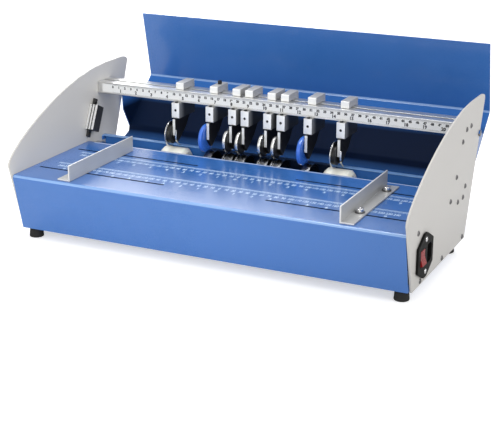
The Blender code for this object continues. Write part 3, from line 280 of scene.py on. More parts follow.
def broken_edges(piece, width, segments=2, angle=30):
    """Rounds off the sharp edges, as deburring and paint do."""
    bevel = piece.modifiers.new("edges", "BEVEL")
    bevel.width = width
    bevel.segments = segments
    bevel.limit_method = "ANGLE"
    bevel.angle_limit = math.radians(angle)
    smooth(flattened(piece))
    weights = piece.modifiers.new("weights", "WEIGHTED_NORMAL")
    weights.mode = "FACE_AREA"
    weights.weight = 100
    weights.keep_sharp = True
    return flattened(piece)


def fitted(piece, body, slot, *nodes):
    """Sets a finished piece on its body, in place of the CAD pieces named."""
    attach(piece, body)
    if nodes:
        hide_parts(*nodes)
    return piece


def coated(mesh, *finishes):
    """Gives a mesh its finishes, in place of any that it has."""
    mesh.materials.clear()
    for finish in finishes:
        mesh.materials.append(finish.material)


def dressed(node, body, slot, finish, width, segments=2, angle=30):
    """A CAD piece again, with broken edges and its finish."""
    piece = broken_edges(in_scene(f"{node}_dressed", tidy_copy(node)), width, segments, angle)
    coated(piece.data, finish)
    return fitted(piece, body, slot, node)


def powder_coat(name, deep, pale, roughness, faint_ink_and_shade_band=None, **fixed):
    """Powder coat: a fine orange peel over a slightly cloudy colour. Where a
    shade band is given, it is painted dark as shade around a middle on one
    axis, out to a near distance, and has its own colour from a far one."""
    coat = Finish(name, **fixed)
    cloud = coat.noise(7, 3)
    grain = coat.noise(2600, 1)
    peel = coat.noise(750, 2)
    colour = coat.mixed(cloud * 0.55 + grain * 0.45, deep, pale)
    if faint_ink_and_shade_band:
        # Painted shade: in the band the coat is drawn dark in place of the shade that falls there.
        axis, middle, near, far, dark = faint_ink_and_shade_band
        away = coat.node("ShaderNodeMath", {"operation": "ABSOLUTE"}, {0: coat.along(axis) - middle})
        colour = coat.mixed(coat.band(away + cloud * 6 * MM, near, far), dark, colour)
    coat.feed(base_color=colour, roughness=roughness - 0.06 + cloud * 0.09 + grain * 0.05)
    coat.bump(peel + grain * 0.3, 0.035 * MM)
    return coat


def mottled(name, per_metre, detail, dark, light, roughness, spread, depth=0, **fixed):
    """A finish whose colour and roughness vary together, and may be pitted."""
    finish = Finish(name, **fixed)
    cloud = finish.noise(per_metre, detail)
    finish.feed(base_color=finish.mixed(cloud, dark, light), roughness=roughness + cloud * spread)
    if depth:
        finish.bump(cloud, depth)
    return finish


def shape_tree(name, **sockets):
    """A tree that makes shapes, and its named inputs of the kinds given."""
    tree = bpy.data.node_groups.new(name, "GeometryNodeTree")
    for label, kind in sockets.items():
        tree.interface.new_socket(label, in_out="INPUT", socket_type=f"NodeSocket{kind}")
    tree.interface.new_socket("Geometry", in_out="OUTPUT", socket_type="NodeSocketGeometry")
    nodes = Nodes(tree)
    given = tree.nodes.new("NodeGroupInput")
    return nodes, {label: Value(nodes, given.outputs[label]) for label in sockets}


def realized(nodes, copies, finish):
    """Ends a tree: its copies are made real and get their finish."""
    real = nodes.node("GeometryNodeRealizeInstances", {}, {"Geometry": copies})
    paint = nodes.node("GeometryNodeSetMaterial", {}, {"Geometry": real, "Material": finish})
    made = nodes.tree.nodes.new("NodeGroupOutput")
    nodes.tree.links.new(paint.socket, made.inputs[0])
    return nodes.tree


def screw_tree():
    """Pan-head screws on a set of points, each turned by its own amount."""
    nodes, given = shape_tree("screws", Points="Geometry", Head="Object", Finish="Material")
    head = nodes.node("GeometryNodeObjectInfo", {}, {"Object": given["Head"]}, output="Geometry")
    turn = nodes.node("FunctionNodeRandomValue", {"data_type": "FLOAT_VECTOR"},
                      {"Min": (0, 0, 0), "Max": (math.pi, 0, 0), "Seed": 7}, output="Value")
    copies = nodes.node("GeometryNodeInstanceOnPoints", {},
                        {"Points": given["Points"], "Instance": head, "Rotation": turn})
    return realized(nodes, copies, given["Finish"])


def tree_inputs(modifier, tree, **values):
    for item in tree.interface.items_tree:
        if item.in_out == "INPUT" and item.name in values:
            modifier[item.identifier] = values[item.name]


def turned(profile, sides, closed=True):
    """Turned shape about the X axis from (place, radius) points."""
    shape = bmesh.new()
    points = [shape.verts.new((place, radius, 0)) for place, radius in profile]
    pairs = list(zip(points, points[1:]))
    if closed:
        pairs.append((points[-1], points[0]))
    edges = [shape.edges.new(pair) for pair in pairs]
    bmesh.ops.spin(shape, geom=points + edges, cent=(0, 0, 0), axis=(1, 0, 0), angle=2 * math.pi,
                   steps=sides, use_merge=True)
    bmesh.ops.remove_doubles(shape, verts=shape.verts, dist=0.001 * MM)
    bmesh.ops.recalc_face_normals(shape, faces=shape.faces)
    return meshed(shape, "turned")


def pressed(name, mesh, *cutters):
    """Cuts shapes out of a mesh and gives the mesh back."""
    piece = in_scene(name, mesh)
    for cutter in cutters:
        tool = in_scene("cutter", cutter)
        cut = piece.modifiers.new("cut", "BOOLEAN")
        cut.operation = "DIFFERENCE"
        cut.object = tool
        flattened(piece)
        bpy.data.objects.remove(tool)
    mesh = piece.data
    bpy.data.objects.remove(piece)
    return mesh


def bar(x0, x1, y0, y1, z0, z1):
    shape = bmesh.new()
    bmesh.ops.create_cube(shape, size=1)
    bmesh.ops.scale(shape, vec=(x1 - x0, y1 - y0, z1 - z0), verts=shape.verts)
    bmesh.ops.translate(shape, vec=((x0 + x1) / 2, (y0 + y1) / 2, (z0 + z1) / 2), verts=shape.verts)
    return meshed(shape, "bar")


SCREW_R = 3.5 * MM
SCREW_RISE = 1.8 * MM
CROSS_W = 0.8 * MM
CROSS_REACH = 1.6 * MM
CROSS_DEPTH = 0.9 * MM


def pan_head(radius=SCREW_R, rise=SCREW_RISE):
    """Domed screw head with a cross recess, its seat at X = 0."""
    share = radius / SCREW_R
    dome = [(rise * math.cos(angle), radius * math.sin(angle))
            for angle in (math.radians(step * 15) for step in range(7))]
    mesh = turned([(rise, 0), *dome[1:], (0, radius), (0, 0)], 20, closed=False)
    top = rise + MM
    half, reach, floor_x = CROSS_W * share / 2, CROSS_REACH * share, rise - CROSS_DEPTH * share
    return pressed("pan_head", mesh, bar(floor_x, top, -reach, reach, -half, half),
                   bar(floor_x, top, -half, half, -reach, reach))


PLATE_SCREWS = (
    ("bearing", -11.5, 75.6), ("bearing", 11.5, 75.6), ("catch", -3.0, 153.9), ("catch", -23.1, 112.1),
    ("beam", 12.5, 166.6), ("beam", 32.5, 167.0), ("table", -174.3, 84.5), ("table", -45.0, 85.9),
    ("strip", 20.0, 88.6), ("pan", -159.1, 18.6), ("pan", -71.1, 18.8), ("pan", 18.6, 18.8),
)

plate_coat = powder_coat("plate_coat", (0.56, 0.545, 0.525), (0.62, 0.605, 0.585), 0.42)
screw_zinc = mottled("zinc_plate", 420, 3, (0.09, 0.09, 0.10), (0.27, 0.265, 0.26), 0.28, 0.2, metallic=1.0)
screws = screw_tree()


def screwed(name, spots, finish, radius=SCREW_R, rise=SCREW_RISE):
    """Pan-head screws that stand out to the right at the spots given."""
    head = in_scene("screw_head", pan_head(radius, rise))
    mesh = bpy.data.meshes.new(name)
    mesh.from_pydata(spots, [], [])
    group = in_scene(name, mesh)
    drive = group.modifiers.new("screws", "NODES")
    drive.node_group = screws
    tree_inputs(drive, screws, Head=head, Finish=finish.material)
    flattened(group)
    bpy.data.objects.remove(head)
    return smooth(group)


def turn_over(piece):
    """Turns a piece that was made for the right side to the left side."""
    piece.data.transform(Matrix.Scale(-1, 4, (1, 0, 0)))
    piece.data.flip_normals()


for side, label in ((-1, "left"), (1, "right")):
    dressed(f"{label}_side_plate", "base", "plate_white", plate_coat, 0.45 * MM, 3)
    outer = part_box(f"{label}_side_plate")[0 if side < 0 else 1].x
    spots = [(side * outer, SHAFT_Y + y * MM, z * MM) for _, y, z in PLATE_SCREWS]
    group = screwed(f"{label}_plate_screws", spots, screw_zinc)
    if side < 0:
        turn_over(group)
    fitted(group, "base", "steel")

# Base sheet parts
# Feed table with front wall, strip with rear wall, and the pan below are each
# one folded sheet of 1.5 mm steel in satin blue powder coat. Its folds carry a
# painted highlight, and the rear wall is painted dark behind the heads as
# painted shade.
BLUE_DEEP = (0.032, 0.142, 0.45)
BLUE_PALE = (0.050, 0.178, 0.53)
# Near black for painted shade, on the rear wall and inside the cover.
SHADE_BLUE = (0.003, 0.010, 0.034)
blue_coat = powder_coat("blue_coat", BLUE_DEEP, BLUE_PALE, 0.27, specular_ior_level=0.5, coat_weight=0.55,
                        coat_roughness=0.12)
# A lighter, glossier blue on the folds is a painted highlight along the bends.
fold_coat = powder_coat("fold_coat", (0.15, 0.30, 0.62), (0.26, 0.43, 0.76), 0.24, specular_ior_level=0.9)
FOLD_LENGTH = 300 * MM
FOLD_LEAST = 0.3 * MM
FOLD_WIDTH = 2 * MM


def rubbed_folds(sheet):
    """Gives the long narrow faces of a sheet's folds a lighter blue: a painted highlight."""
    mesh = sheet.data
    mesh.materials.append(fold_coat.material)
    for face in mesh.polygons:
        corners = [mesh.vertices[index].co for index in face.vertices]
        length = max((corner - corners[place - 1]).length for place, corner in enumerate(corners))
        turned_over = face.normal.z > 0.1 and abs(face.normal.y) > 0.3
        if length > FOLD_LENGTH and FOLD_LEAST < face.area / length < FOLD_WIDTH and turned_over:
            face.material_index = len(mesh.materials) - 1


# Painted shade: between the heads the rear wall and strip are painted near black, with a lighter blue
# outside; their folds also carry the painted highlight.
SHADE_MIDDLE = -2.5 * MM
SHADE_NEAR = 93 * MM
SHADE_FAR = 118 * MM
rear_shade_band = (0, SHADE_MIDDLE, SHADE_NEAR, SHADE_FAR, SHADE_BLUE)
soiled_coat = powder_coat("soiled_coat", (0.044, 0.19, 0.60), (0.068, 0.24, 0.70), 0.4, rear_shade_band,
                          specular_ior_level=0.2)
soiled_fold = powder_coat("soiled_fold", (0.17, 0.36, 0.72), (0.28, 0.48, 0.84), 0.34, rear_shade_band,
                          specular_ior_level=0.3)
# Near black for the walls of the table's slots: painted shade inside the slots.
cut_edge = mottled("cut_edge", 500, 2, (0.006, 0.016, 0.05), (0.014, 0.035, 0.10), 0.5, 0.2)
TABLE_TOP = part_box("table_housing")[1].z
SHEET_T = 1.5 * MM
SLOTS_REACH = 265 * MM
SLOTS_FRONT = -170 * MM
TOP_SKIN = 0.1 * MM
for node in ("table_housing", "rear_panel", "base_pan"):
    sheet = dressed(node, "base", "blue_paint", blue_coat, 0.3 * MM, 2)
    rubbed_folds(sheet)
    if node == "table_housing":
        # The slot walls get the painted shade.
        sheet.data.materials.append(cut_edge.material)
        for face in sheet.data.polygons:
            x, y, z = face.center
            within = abs(x - MIDDLE_X) < SLOTS_REACH and SLOTS_FRONT < y < 0
            if within and abs(face.normal.z) < 0.5 and -SHEET_T < z - TABLE_TOP < -TOP_SKIN:
                face.material_index = 2
    if node == "rear_panel":
        for finish in (soiled_coat, soiled_fold):
            sheet.data.materials.append(finish.material)
        # Faces of the rear wall toward the front and up take the painted shade.
        for face in sheet.data.polygons:
            if face.normal.y < -0.3 or face.normal.z > 0.5:
                face.material_index = 3 if face.center.z > TABLE_TOP - SHEET_T else 2

# Table rules
# Pale rules are printed right across the feed table, so that both guides can
# be set to the same number: millimetre lines with numbers in front of them.
PRINT_T = 0.06 * MM


def tick_tree():
    """Row of printed lines along X: every fifth longer, every tenth longest."""
    nodes, given = shape_tree("ticks", Count="Int", Pitch="Float", Width="Float", Height="Float",
                              Short="Float", Fifth="Float", Tenth="Float", Ink="Material")
    index = nodes.node("GeometryNodeInputIndex")

    def every(count, extra):
        """Extra length at each line whose number the count divides."""
        rest = nodes.node("FunctionNodeIntegerMath", {"operation": "MODULO"}, {0: index, 1: count})
        none = nodes.node("FunctionNodeCompare", {"data_type": "INT", "operation": "EQUAL"}, {2: rest, 3: 0})
        return none * given[extra]

    step = nodes.node("ShaderNodeCombineXYZ", {}, {"X": given["Pitch"]})
    line = nodes.node("GeometryNodeMeshLine", {}, {"Count": given["Count"], "Offset": step})
    length = every(5, "Fifth") + every(10, "Tenth") + given["Short"]
    size = nodes.node("ShaderNodeCombineXYZ", {}, {"X": given["Width"], "Y": length, "Z": given["Height"]})
    block = nodes.node("GeometryNodeMeshCube")
    hang = nodes.node("GeometryNodeTransform", {}, {"Geometry": block, "Translation": (0, -0.5, 0.5)})
    copies = nodes.node("GeometryNodeInstanceOnPoints", {}, {"Points": line, "Instance": hang, "Scale": size})
    return realized(nodes, copies, given["Ink"])


ticks = tick_tree()


def tick_row(name, count, pitch, width, short, fifth, tenth, ink):
    row = in_scene(name, bpy.data.meshes.new(name))
    drive = row.modifiers.new("ticks", "NODES")
    drive.node_group = ticks
    tree_inputs(drive, ticks, Count=count, Pitch=pitch, Width=width, Height=PRINT_T, Short=short,
                Fifth=fifth, Tenth=tenth, Ink=ink.material)
    return flattened(row)


def numbers(name, labels, height, ink, weight=0.0, narrow=1.0):
    """Printed numbers, each centred at its place along X, on the XY plane."""
    whole = bmesh.new()
    for text, x, y in labels:
        curve = bpy.data.curves.new("number", "FONT")
        curve.body = text
        curve.size = height / 0.7
        curve.align_x = "CENTER"
        curve.extrude = PRINT_T / 2
        curve.offset = weight * height
        curve.resolution_u = 2
        holder = bpy.data.objects.new("number", curve)
        bpy.context.scene.collection.objects.link(holder)
        bpy.context.view_layer.update()
        mesh = bpy.data.meshes.new_from_object(holder)
        mesh.transform(Matrix.Translation((x, y, PRINT_T / 2)) @ Matrix.Scale(narrow, 4, (1, 0, 0)))
        whole.from_mesh(mesh)
        bpy.data.objects.remove(holder)
        bpy.data.meshes.remove(mesh)
    mesh = meshed(whole, name)
    coated(mesh, ink)
    return in_scene(name, mesh)


def printed(name, pieces, ink, body, slot, place):
    """Joins printed lines and numbers and lays them on a surface."""
    whole = bmesh.new()
    for piece in pieces:
        whole.from_mesh(piece.data)
        bpy.data.objects.remove(piece)
    mesh = meshed(whole, name)
    coated(mesh, ink)
    for face in mesh.polygons:
        face.material_index = 0
    mesh.transform(place)
    return fitted(in_scene(name, mesh), body, slot)


def print_ink(name, faint_ink_and_shade_band, full):
    return mottled(name, 900, 3, faint_ink_and_shade_band, full, 0.45, 0.15)


pale_ink = print_ink("pale_ink", (0.44, 0.62, 0.86), (0.64, 0.77, 0.94))
INCH = 25.4 * MM
RULE_REACH = 250
RULE_ROWS = (("rear", -76.5), ("front", -132.5))
RAIL_W = 0.7 * MM
TENS_DOWN = -16.5 * MM
INCHES_DOWN = -27 * MM
for label, y in RULE_ROWS:
    rule = tick_row("lines", 2 * RULE_REACH + 1, MM, width=0.34 * MM, short=4.5 * MM, fifth=1.5 * MM,
                    tenth=2 * MM, ink=pale_ink)
    rule.data.transform(Matrix.Translation((-RULE_REACH * MM, 0, 0)))
    rail = in_scene("rail", bar(-RULE_REACH * MM, RULE_REACH * MM, 0, RAIL_W, 0, PRINT_T), pale_ink)
    tens = [(str(abs(x)), x * MM, TENS_DOWN) for x in range(-240, 241, 10)]
    inches = [(str(abs(n)), n * INCH, INCHES_DOWN) for n in range(-9, 10)]
    figures = numbers("figures", tens, 6.5 * MM, pale_ink, weight=0.035, narrow=0.62)
    large = numbers("large", inches, 6 * MM, pale_ink, weight=0.03)
    printed(f"table_rule_{label}", [rule, rail, figures, large], pale_ink, "base", "scale_white",
            Matrix.Translation((MIDDLE_X, SHAFT_Y + y * MM, TABLE_TOP)))
# A pale strip just ahead of the table's rear edge is a painted highlight along that edge.
EDGE_GLINT_REACH = 262 * MM
EDGE_GLINT_BACK = -24.6 * MM
EDGE_GLINT_WIDTH = 2.2 * MM
rub = in_scene("rub", bar(-EDGE_GLINT_REACH, EDGE_GLINT_REACH, EDGE_GLINT_BACK - EDGE_GLINT_WIDTH, EDGE_GLINT_BACK, 0, PRINT_T))
edge_glint_ink = print_ink("rubbed_edge", (0.46, 0.56, 0.74), (0.70, 0.76, 0.86))
printed("table_rubbed_edge", [rub], edge_glint_ink, "base", "blue_paint",
        Matrix.Translation((MIDDLE_X, SHAFT_Y, TABLE_TOP)))

# Feet
# Four round rubber feet, moulded with a rounded rim and held to the pan by a
# screw up through the middle.
rubber = Finish("black_rubber")
rubber_grain = rubber.noise(1500, 2)
rubber_dust = rubber.noise(60, 3)
rubber.feed(base_color=rubber.mixed(rubber_dust, (0.006, 0.006, 0.006), (0.018, 0.018, 0.017)),
            roughness=0.72 + rubber_grain * 0.15)
rubber.bump(rubber_grain, 0.05 * MM)
FOOT_RIM = 1.6 * MM
FOOT_DISH = 5 * MM
DISH_DEPTH = 1.2 * MM
DISH_EASE = 0.8 * MM
FOOT_TAPER = 0.9 * MM
FOOT_NECK = 1.4 * MM
for row in ("front", "rear"):
    for label in ("left", "right"):
        node = f"foot_{row}_{label}"
        low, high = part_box(node)
        radius = (high.x - low.x) / 2
        tall = high.z - low.z
        rim = [(FOOT_RIM * (1 - math.sin(a)), radius - FOOT_RIM * (1 - math.cos(a)))
               for a in (math.radians(90 - step * 18) for step in range(6))]
        profile = [(DISH_DEPTH, 0), (DISH_DEPTH, FOOT_DISH), (0, FOOT_DISH + DISH_EASE), *rim,
                   (tall - 3 * MM, radius - FOOT_TAPER), (tall - 2.4 * MM, radius - FOOT_NECK),
                   (tall, radius - FOOT_NECK), (tall, 0)]
        mesh = turned(profile, 48, closed=False)
        mesh.transform(Matrix.Rotation(-math.pi / 2, 4, "Y"))
        mesh.transform(Matrix.Translation(((low.x + high.x) / 2, (low.y + high.y) / 2, low.z)))
        foot = smooth(in_scene(f"{node}_moulded", mesh, rubber))
        fitted(foot, "base", "black_rubber", node)


# Driven shaft and its bearings
# A ground steel shaft runs right across the base in two flanged bearings. A
# gear on its right end is driven by the motor's pinion.
def metal(name, dark, light, roughness, stretch, depth=0.01 * MM, metallic=1.0):
    """Bare metal with fine lines: the stretch sets which way they run."""
    bare = Finish(name, metallic=metallic)
    lines = bare.noise(900, 3, stretch)
    cloud = bare.noise(25, 2)
    bare.feed(base_color=bare.mixed(lines * 0.5 + cloud * 0.5, dark, light),
              roughness=roughness - 0.06 + lines * 0.12)
    bare.bump(lines, depth)
    return bare


def turned_metal(name, dark, light, roughness, axis_z, metallic=1.0, depth=0.012 * MM, **fixed):
    """Turned surface, its tool marks in rings about an axis along X."""
    ring = Finish(name, metallic=metallic, **fixed)
    y = ring.along(1) - SHAFT_Y
    z = ring.along(2) - axis_z
    radius = (y * y + z * z) ** 0.5
    rings = ring.noise(1700, 2, spot=ring.node("ShaderNodeCombineXYZ", {}, {0: ring.along(0), 1: radius}))
    stain = ring.noise(90, 3)
    ring.feed(base_color=ring.mixed(rings * 0.6 + stain * 0.4, dark, light),
              roughness=roughness - 0.05 + rings * 0.1)
    ring.bump(rings, depth)
    return ring


ground_steel = turned_metal("ground_steel", (0.50, 0.50, 0.51), (0.70, 0.70, 0.71), 0.24, SHAFT_Z)
bearing_steel = metal("bearing_steel", (0.40, 0.40, 0.41), (0.60, 0.60, 0.60), 0.38, (1, 1, 1))
gear_steel = metal("gear_steel", (0.42, 0.42, 0.43), (0.60, 0.60, 0.60), 0.3, (8, 1, 1))
shaft_r = (shaft_high.z - shaft_low.z) / 2
SHAFT_EASE = 0.8 * MM
shaft_profile = [(shaft_low.x, 0), (shaft_low.x, shaft_r - SHAFT_EASE), (shaft_low.x + SHAFT_EASE, shaft_r),
                 (shaft_high.x - SHAFT_EASE, shaft_r), (shaft_high.x, shaft_r - SHAFT_EASE),
                 (shaft_high.x, 0)]
shaft_mesh = turned(shaft_profile, 48, closed=False)
shaft_mesh.transform(Matrix.Translation((0, SHAFT_Y, SHAFT_Z)))
shaft = smooth(in_scene("ground_shaft", shaft_mesh, ground_steel))
fitted(shaft, "shaft", "steel", "drive_shaft")
for label in ("left", "right"):
    dressed(f"shaft_bearing_{label}", "base", "steel", bearing_steel, 0.4 * MM, 2)
dressed("shaft_gear", "shaft", "steel", gear_steel, 0.15 * MM, 1)
dressed("motor_pinion", "pinion", "steel", gear_steel, 0.12 * MM, 1)

# Gear motor
# A cast gearbox stands on the pan with a drawn steel motor can flanged to
# its left side.
cast = mottled("cast_grey", 650, 4, (0.13, 0.13, 0.14), (0.22, 0.22, 0.23), 0.45, 0.15, 0.12 * MM,
               metallic=0.4)
dressed("gear_motor", "base", "motor_grey", cast, 0.8 * MM, 3)

# Tool beam and its scale
# An aluminium extrusion between the side plates carries the heads. Its front
# has a printed scale: a number every 10 mm, and every inch below.
beam_metal = metal("beam_anodised", (0.66, 0.66, 0.65), (0.80, 0.80, 0.79), 0.32, (0.01, 1, 1))
scale_ground = metal("scale_ground", (0.76, 0.76, 0.75), (0.84, 0.84, 0.83), 0.45, (0.01, 1, 1),
                     metallic=0.0)
dressed("tool_beam", "base", "aluminium", beam_metal, 0.35 * MM, 2)
dressed("beam_scale", "base", "scale_white", scale_ground, 0.1 * MM, 1)

black_ink = print_ink("black_ink", (0.008, 0.008, 0.010), (0.020, 0.020, 0.022))
scale_low, scale_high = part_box("beam_scale")
SCALE_ZERO = -248.3 * MM
SCALE_SPAN = 505
INCHES = 20
PER_INCH = 16
PRINT_MARGIN = 0.3 * MM
MM_LINE_W = 0.2 * MM
upper = tick_row("upper", SCALE_SPAN + 1, MM, MM_LINE_W, short=1.3 * MM, fifth=0.5 * MM, tenth=0.7 * MM,
                 ink=black_ink)
lower = tick_row("lower", INCHES * PER_INCH + 1, INCH / PER_INCH, MM_LINE_W, short=MM, fifth=0, tenth=0,
                 ink=black_ink)
lower.data.transform(Matrix.Scale(-1, 4, (0, 1, 0)))
lower.data.flip_normals()
tall = scale_high.z - scale_low.z
lower.data.transform(Matrix.Translation((0, -tall + PRINT_MARGIN, 0)))
top_row = [(str(n), n * 10 * MM, -5.4 * MM) for n in range(51)]
inch_row = [(str(n), (n - 0.5) * INCH, -tall + 1.8 * MM) for n in range(1, INCHES + 1)]
small = numbers("small", top_row, 3.1 * MM, black_ink, weight=0.1)
large = numbers("large", inch_row, 4.2 * MM, black_ink, weight=0.075)
upper.data.transform(Matrix.Translation((0, -PRINT_MARGIN, 0)))
printed("beam_print", [upper, lower, small, large], black_ink, "base", "scale_white",
        Matrix.Translation((MIDDLE_X + SCALE_ZERO, scale_low.y, scale_high.z))
        @ Matrix.Rotation(math.pi / 2, 4, "X"))

# Creasing heads
# Eight milled aluminium clamps hang on the beam. Their sides are painted a
# darker grey above the beam, and below it light along the front and near
# black behind: painted shade. Each holds a steel arm with the upper wheel on
# its left side, and clamps by a screw in its ledge.
clamp_metal = metal("clamp_milled", (0.80, 0.805, 0.81), (0.90, 0.905, 0.91), 0.42, (1, 1, 0.05),
                    metallic=0.15)
# The clamp's sides above the beam are a darker grey than its front: painted shade.
clamp_side_shade = metal("clamp_anodised", (0.38, 0.38, 0.385), (0.50, 0.50, 0.50), 0.42, (1, 0.02, 1),
                   metallic=0.3)
clamp_low, clamp_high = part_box("head_clamp_1")
LIT_END = clamp_low.y + 5 * MM
SHADE_START = clamp_low.y + 17 * MM
# Below the beam the sides are painted light at the front and near black behind: painted shade under the beam.
clamp_block = Finish("clamp_block", metallic=0.5)
block_lines = clamp_block.noise(900, 3, (1, 0.02, 1))
lit_front = clamp_block.band(clamp_block.along(1) + block_lines * MM, LIT_END, SHADE_START)
clamp_block.feed(base_color=clamp_block.mixed(lit_front, (0.36, 0.365, 0.37), (0.06, 0.062, 0.066)),
                 roughness=0.34 + block_lines * 0.1)
black_steel = mottled("black_oxide", 300, 3, (0.012, 0.012, 0.013), (0.035, 0.035, 0.038), 0.32, 0.15,
                      metallic=0.7)
edge_steel = metal("edge_steel", (0.74, 0.74, 0.72), (0.88, 0.88, 0.86), 0.36, (1, 1, 0.05), metallic=0.15)
WHEEL_KINDS = dict(enumerate(("feed", "blade", "crease", "crease", "crease", "crease", "blade", "feed"), 1))


def middle_x(node):
    low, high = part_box(node)
    return (low.x + high.x) / 2


def shifted(mesh, x):
    copy = mesh.copy()
    copy.transform(Matrix.Translation((x, 0, 0)))
    return copy


def upright_rod(x, y, z0, z1, radius, sides=24):
    mesh = turned([(z0, 0), (z0, radius), (z1, radius), (z1, 0)], sides, closed=False)
    mesh.transform(Matrix.Rotation(-math.pi / 2, 4, "Y"))
    mesh.transform(Matrix.Translation((x, y, 0)))
    return mesh


beam_low, beam_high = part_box("tool_beam")
CLAMP_X = (clamp_low.x + clamp_high.x) / 2
HALF_HEAD = (clamp_high.x - clamp_low.x) / 2
GROOVE_W = 1.1 * MM
GROOVE_DEPTH = 0.5 * MM
HOLE_R = 1.9 * MM
HOLE_DEPTH = 3 * MM
BEAM_GAP = 0.3 * MM
GROOVE_START = 15 * MM
GROOVE_SHARES = (0.28, 0.52, 0.76)
HOLE_SHARE = 0.52
block_top = beam_low.z - BEAM_GAP
cap_foot = beam_high.z + BEAM_GAP
cap_rise = clamp_high.z - cap_foot
grooves = []
for share in GROOVE_SHARES:
    z = cap_foot + cap_rise * share
    for side in (-1, 1):
        edge = CLAMP_X + side * HALF_HEAD
        near, far = sorted((edge - side * GROOVE_DEPTH, edge + side * MM))
        grooves.append(bar(near, far, clamp_low.y + GROOVE_START, clamp_high.y + MM, z - GROOVE_W / 2,
                           z + GROOVE_W / 2))
hole_z = clamp_low.z + (block_top - clamp_low.z) * HOLE_SHARE
clamp_mesh = pressed("clamp", tidy_copy("head_clamp_1"), *grooves)
clamp_solid = broken_edges(in_scene("clamp", clamp_mesh), 0.3 * MM, 2)
hole = turned([(-MM, 0), (-MM, HOLE_R), (HOLE_DEPTH, HOLE_R), (HOLE_DEPTH, 0)], 20, closed=False)
hole.transform(Matrix.Rotation(math.pi / 2, 4, "Z"))
hole.transform(Matrix.Translation((CLAMP_X, clamp_low.y, hole_z)))
drilled = bmesh.new()
drilled.from_mesh(pressed("clamp_drilled", clamp_solid.data, hole))
bpy.data.objects.remove(clamp_solid)
bmesh.ops.bisect_plane(drilled, geom=drilled.verts[:] + drilled.edges[:] + drilled.faces[:], dist=0.001 * MM,
                       plane_co=(0, 0, block_top), plane_no=(0, 0, 1))
clamp_shape = meshed(drilled, "clamp_drilled")
coated(clamp_shape, clamp_metal, clamp_side_shade, clamp_block)
# Front faces keep the milled finish; the sides take the painted shade.
for face in clamp_shape.polygons:
    face.material_index = 0 if face.normal.y < -0.6 else 1 if face.center.z > block_top else 2
LEDGE_Y = clamp_low.y + 3.3 * MM
LEDGE_SCREW_R = 2.3 * MM
LEDGE_SCREW_RISE = 1.5 * MM
SET_SCREW_DEPTH = {"feed": 0.5 * MM, "blade": 0.5 * MM, "crease": 2.4 * MM}
ARM_HALF_T = 2.2 * MM
PLAY = 0.05 * MM

for number, kind in WHEEL_KINDS.items():
    x = middle_x(f"head_clamp_{number}")
    body = f"head_{number}"
    clamp = in_scene(f"clamp_{number}", shifted(clamp_shape, x - CLAMP_X))
    fitted(clamp, body, "aluminium", f"head_clamp_{number}")
    arm = broken_edges(in_scene(f"arm_{number}", tidy_copy(f"head_arm_{number}")), 0.25 * MM, 2)
    coated(arm.data, black_steel, edge_steel)
    for face in arm.data.polygons:
        if face.normal.y < -0.9 and abs(face.center.x - x) < ARM_HALF_T:
            face.material_index = 1
    fitted(arm, body, "dark_steel", f"head_arm_{number}")
    bolt_mesh = upright_rod(x, LEDGE_Y, block_top, block_top + LEDGE_SCREW_RISE, LEDGE_SCREW_R)
    bolt = smooth(in_scene(f"ledge_screw_{number}", bolt_mesh, black_steel))
    fitted(bolt, body, "dark_steel")
    plug_mesh = upright_rod(0, 0, 0, HOLE_DEPTH - SET_SCREW_DEPTH[kind], HOLE_R - PLAY, 20)
    plug = smooth(in_scene(f"set_screw_{number}", plug_mesh, black_steel))
    plug.data.transform(Matrix.Translation((x, clamp_low.y + HOLE_DEPTH, hole_z))
                        @ Matrix.Rotation(math.pi / 2, 4, "X"))
    fitted(plug, body, "dark_steel")

# Cap screw
# A black socket screw through the top of one clamp pins that head to the beam.
PINNED_HEAD = 2
CAP_SCREW_Y = 34 * MM
CAP_SCREW_R = 2.9 * MM
CAP_SCREW_RISE = 5 * MM
CAP_SOCKET_R = 1.5 * MM
CAP_SOCKET_DEPTH = 2 * MM
CAP_EASE = 0.4 * MM
low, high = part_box(f"head_clamp_{PINNED_HEAD}")
cap_floor = CAP_SCREW_RISE - CAP_SOCKET_DEPTH
cap_profile = [(0, 0), (0, CAP_SCREW_R), (CAP_SCREW_RISE - CAP_EASE, CAP_SCREW_R),
               (CAP_SCREW_RISE, CAP_SCREW_R - CAP_EASE), (CAP_SCREW_RISE, CAP_SOCKET_R),
               (cap_floor, CAP_SOCKET_R), (cap_floor, 0)]
cap_mesh = turned(cap_profile, 24, closed=False)
cap_mesh.transform(Matrix.Translation(((low.x + high.x) / 2, SHAFT_Y + CAP_SCREW_Y, high.z))
                   @ Matrix.Rotation(-math.pi / 2, 4, "Y"))
cap_screw = smooth(in_scene("cap_screw", cap_mesh, black_steel))
fitted(cap_screw, f"head_{PINNED_HEAD}", "dark_steel")

# Stripper prongs
# On each feed head a bent strip of spring steel comes down beside the wheel
# and lifts the sheet off it.
PRONG_W = 2.4 * MM
PRONG_T = 0.5 * MM
PRONG_PATH = ((-4.4, 121), (-5.2, 113), (-4.6, 107), (-1.8, 103), (2.2, 100.6), (5.6, 97.6), (7.4, 96.4))
spring_steel = metal("spring_steel", (0.62, 0.62, 0.60), (0.84, 0.83, 0.80), 0.22, (1, 1, 1))


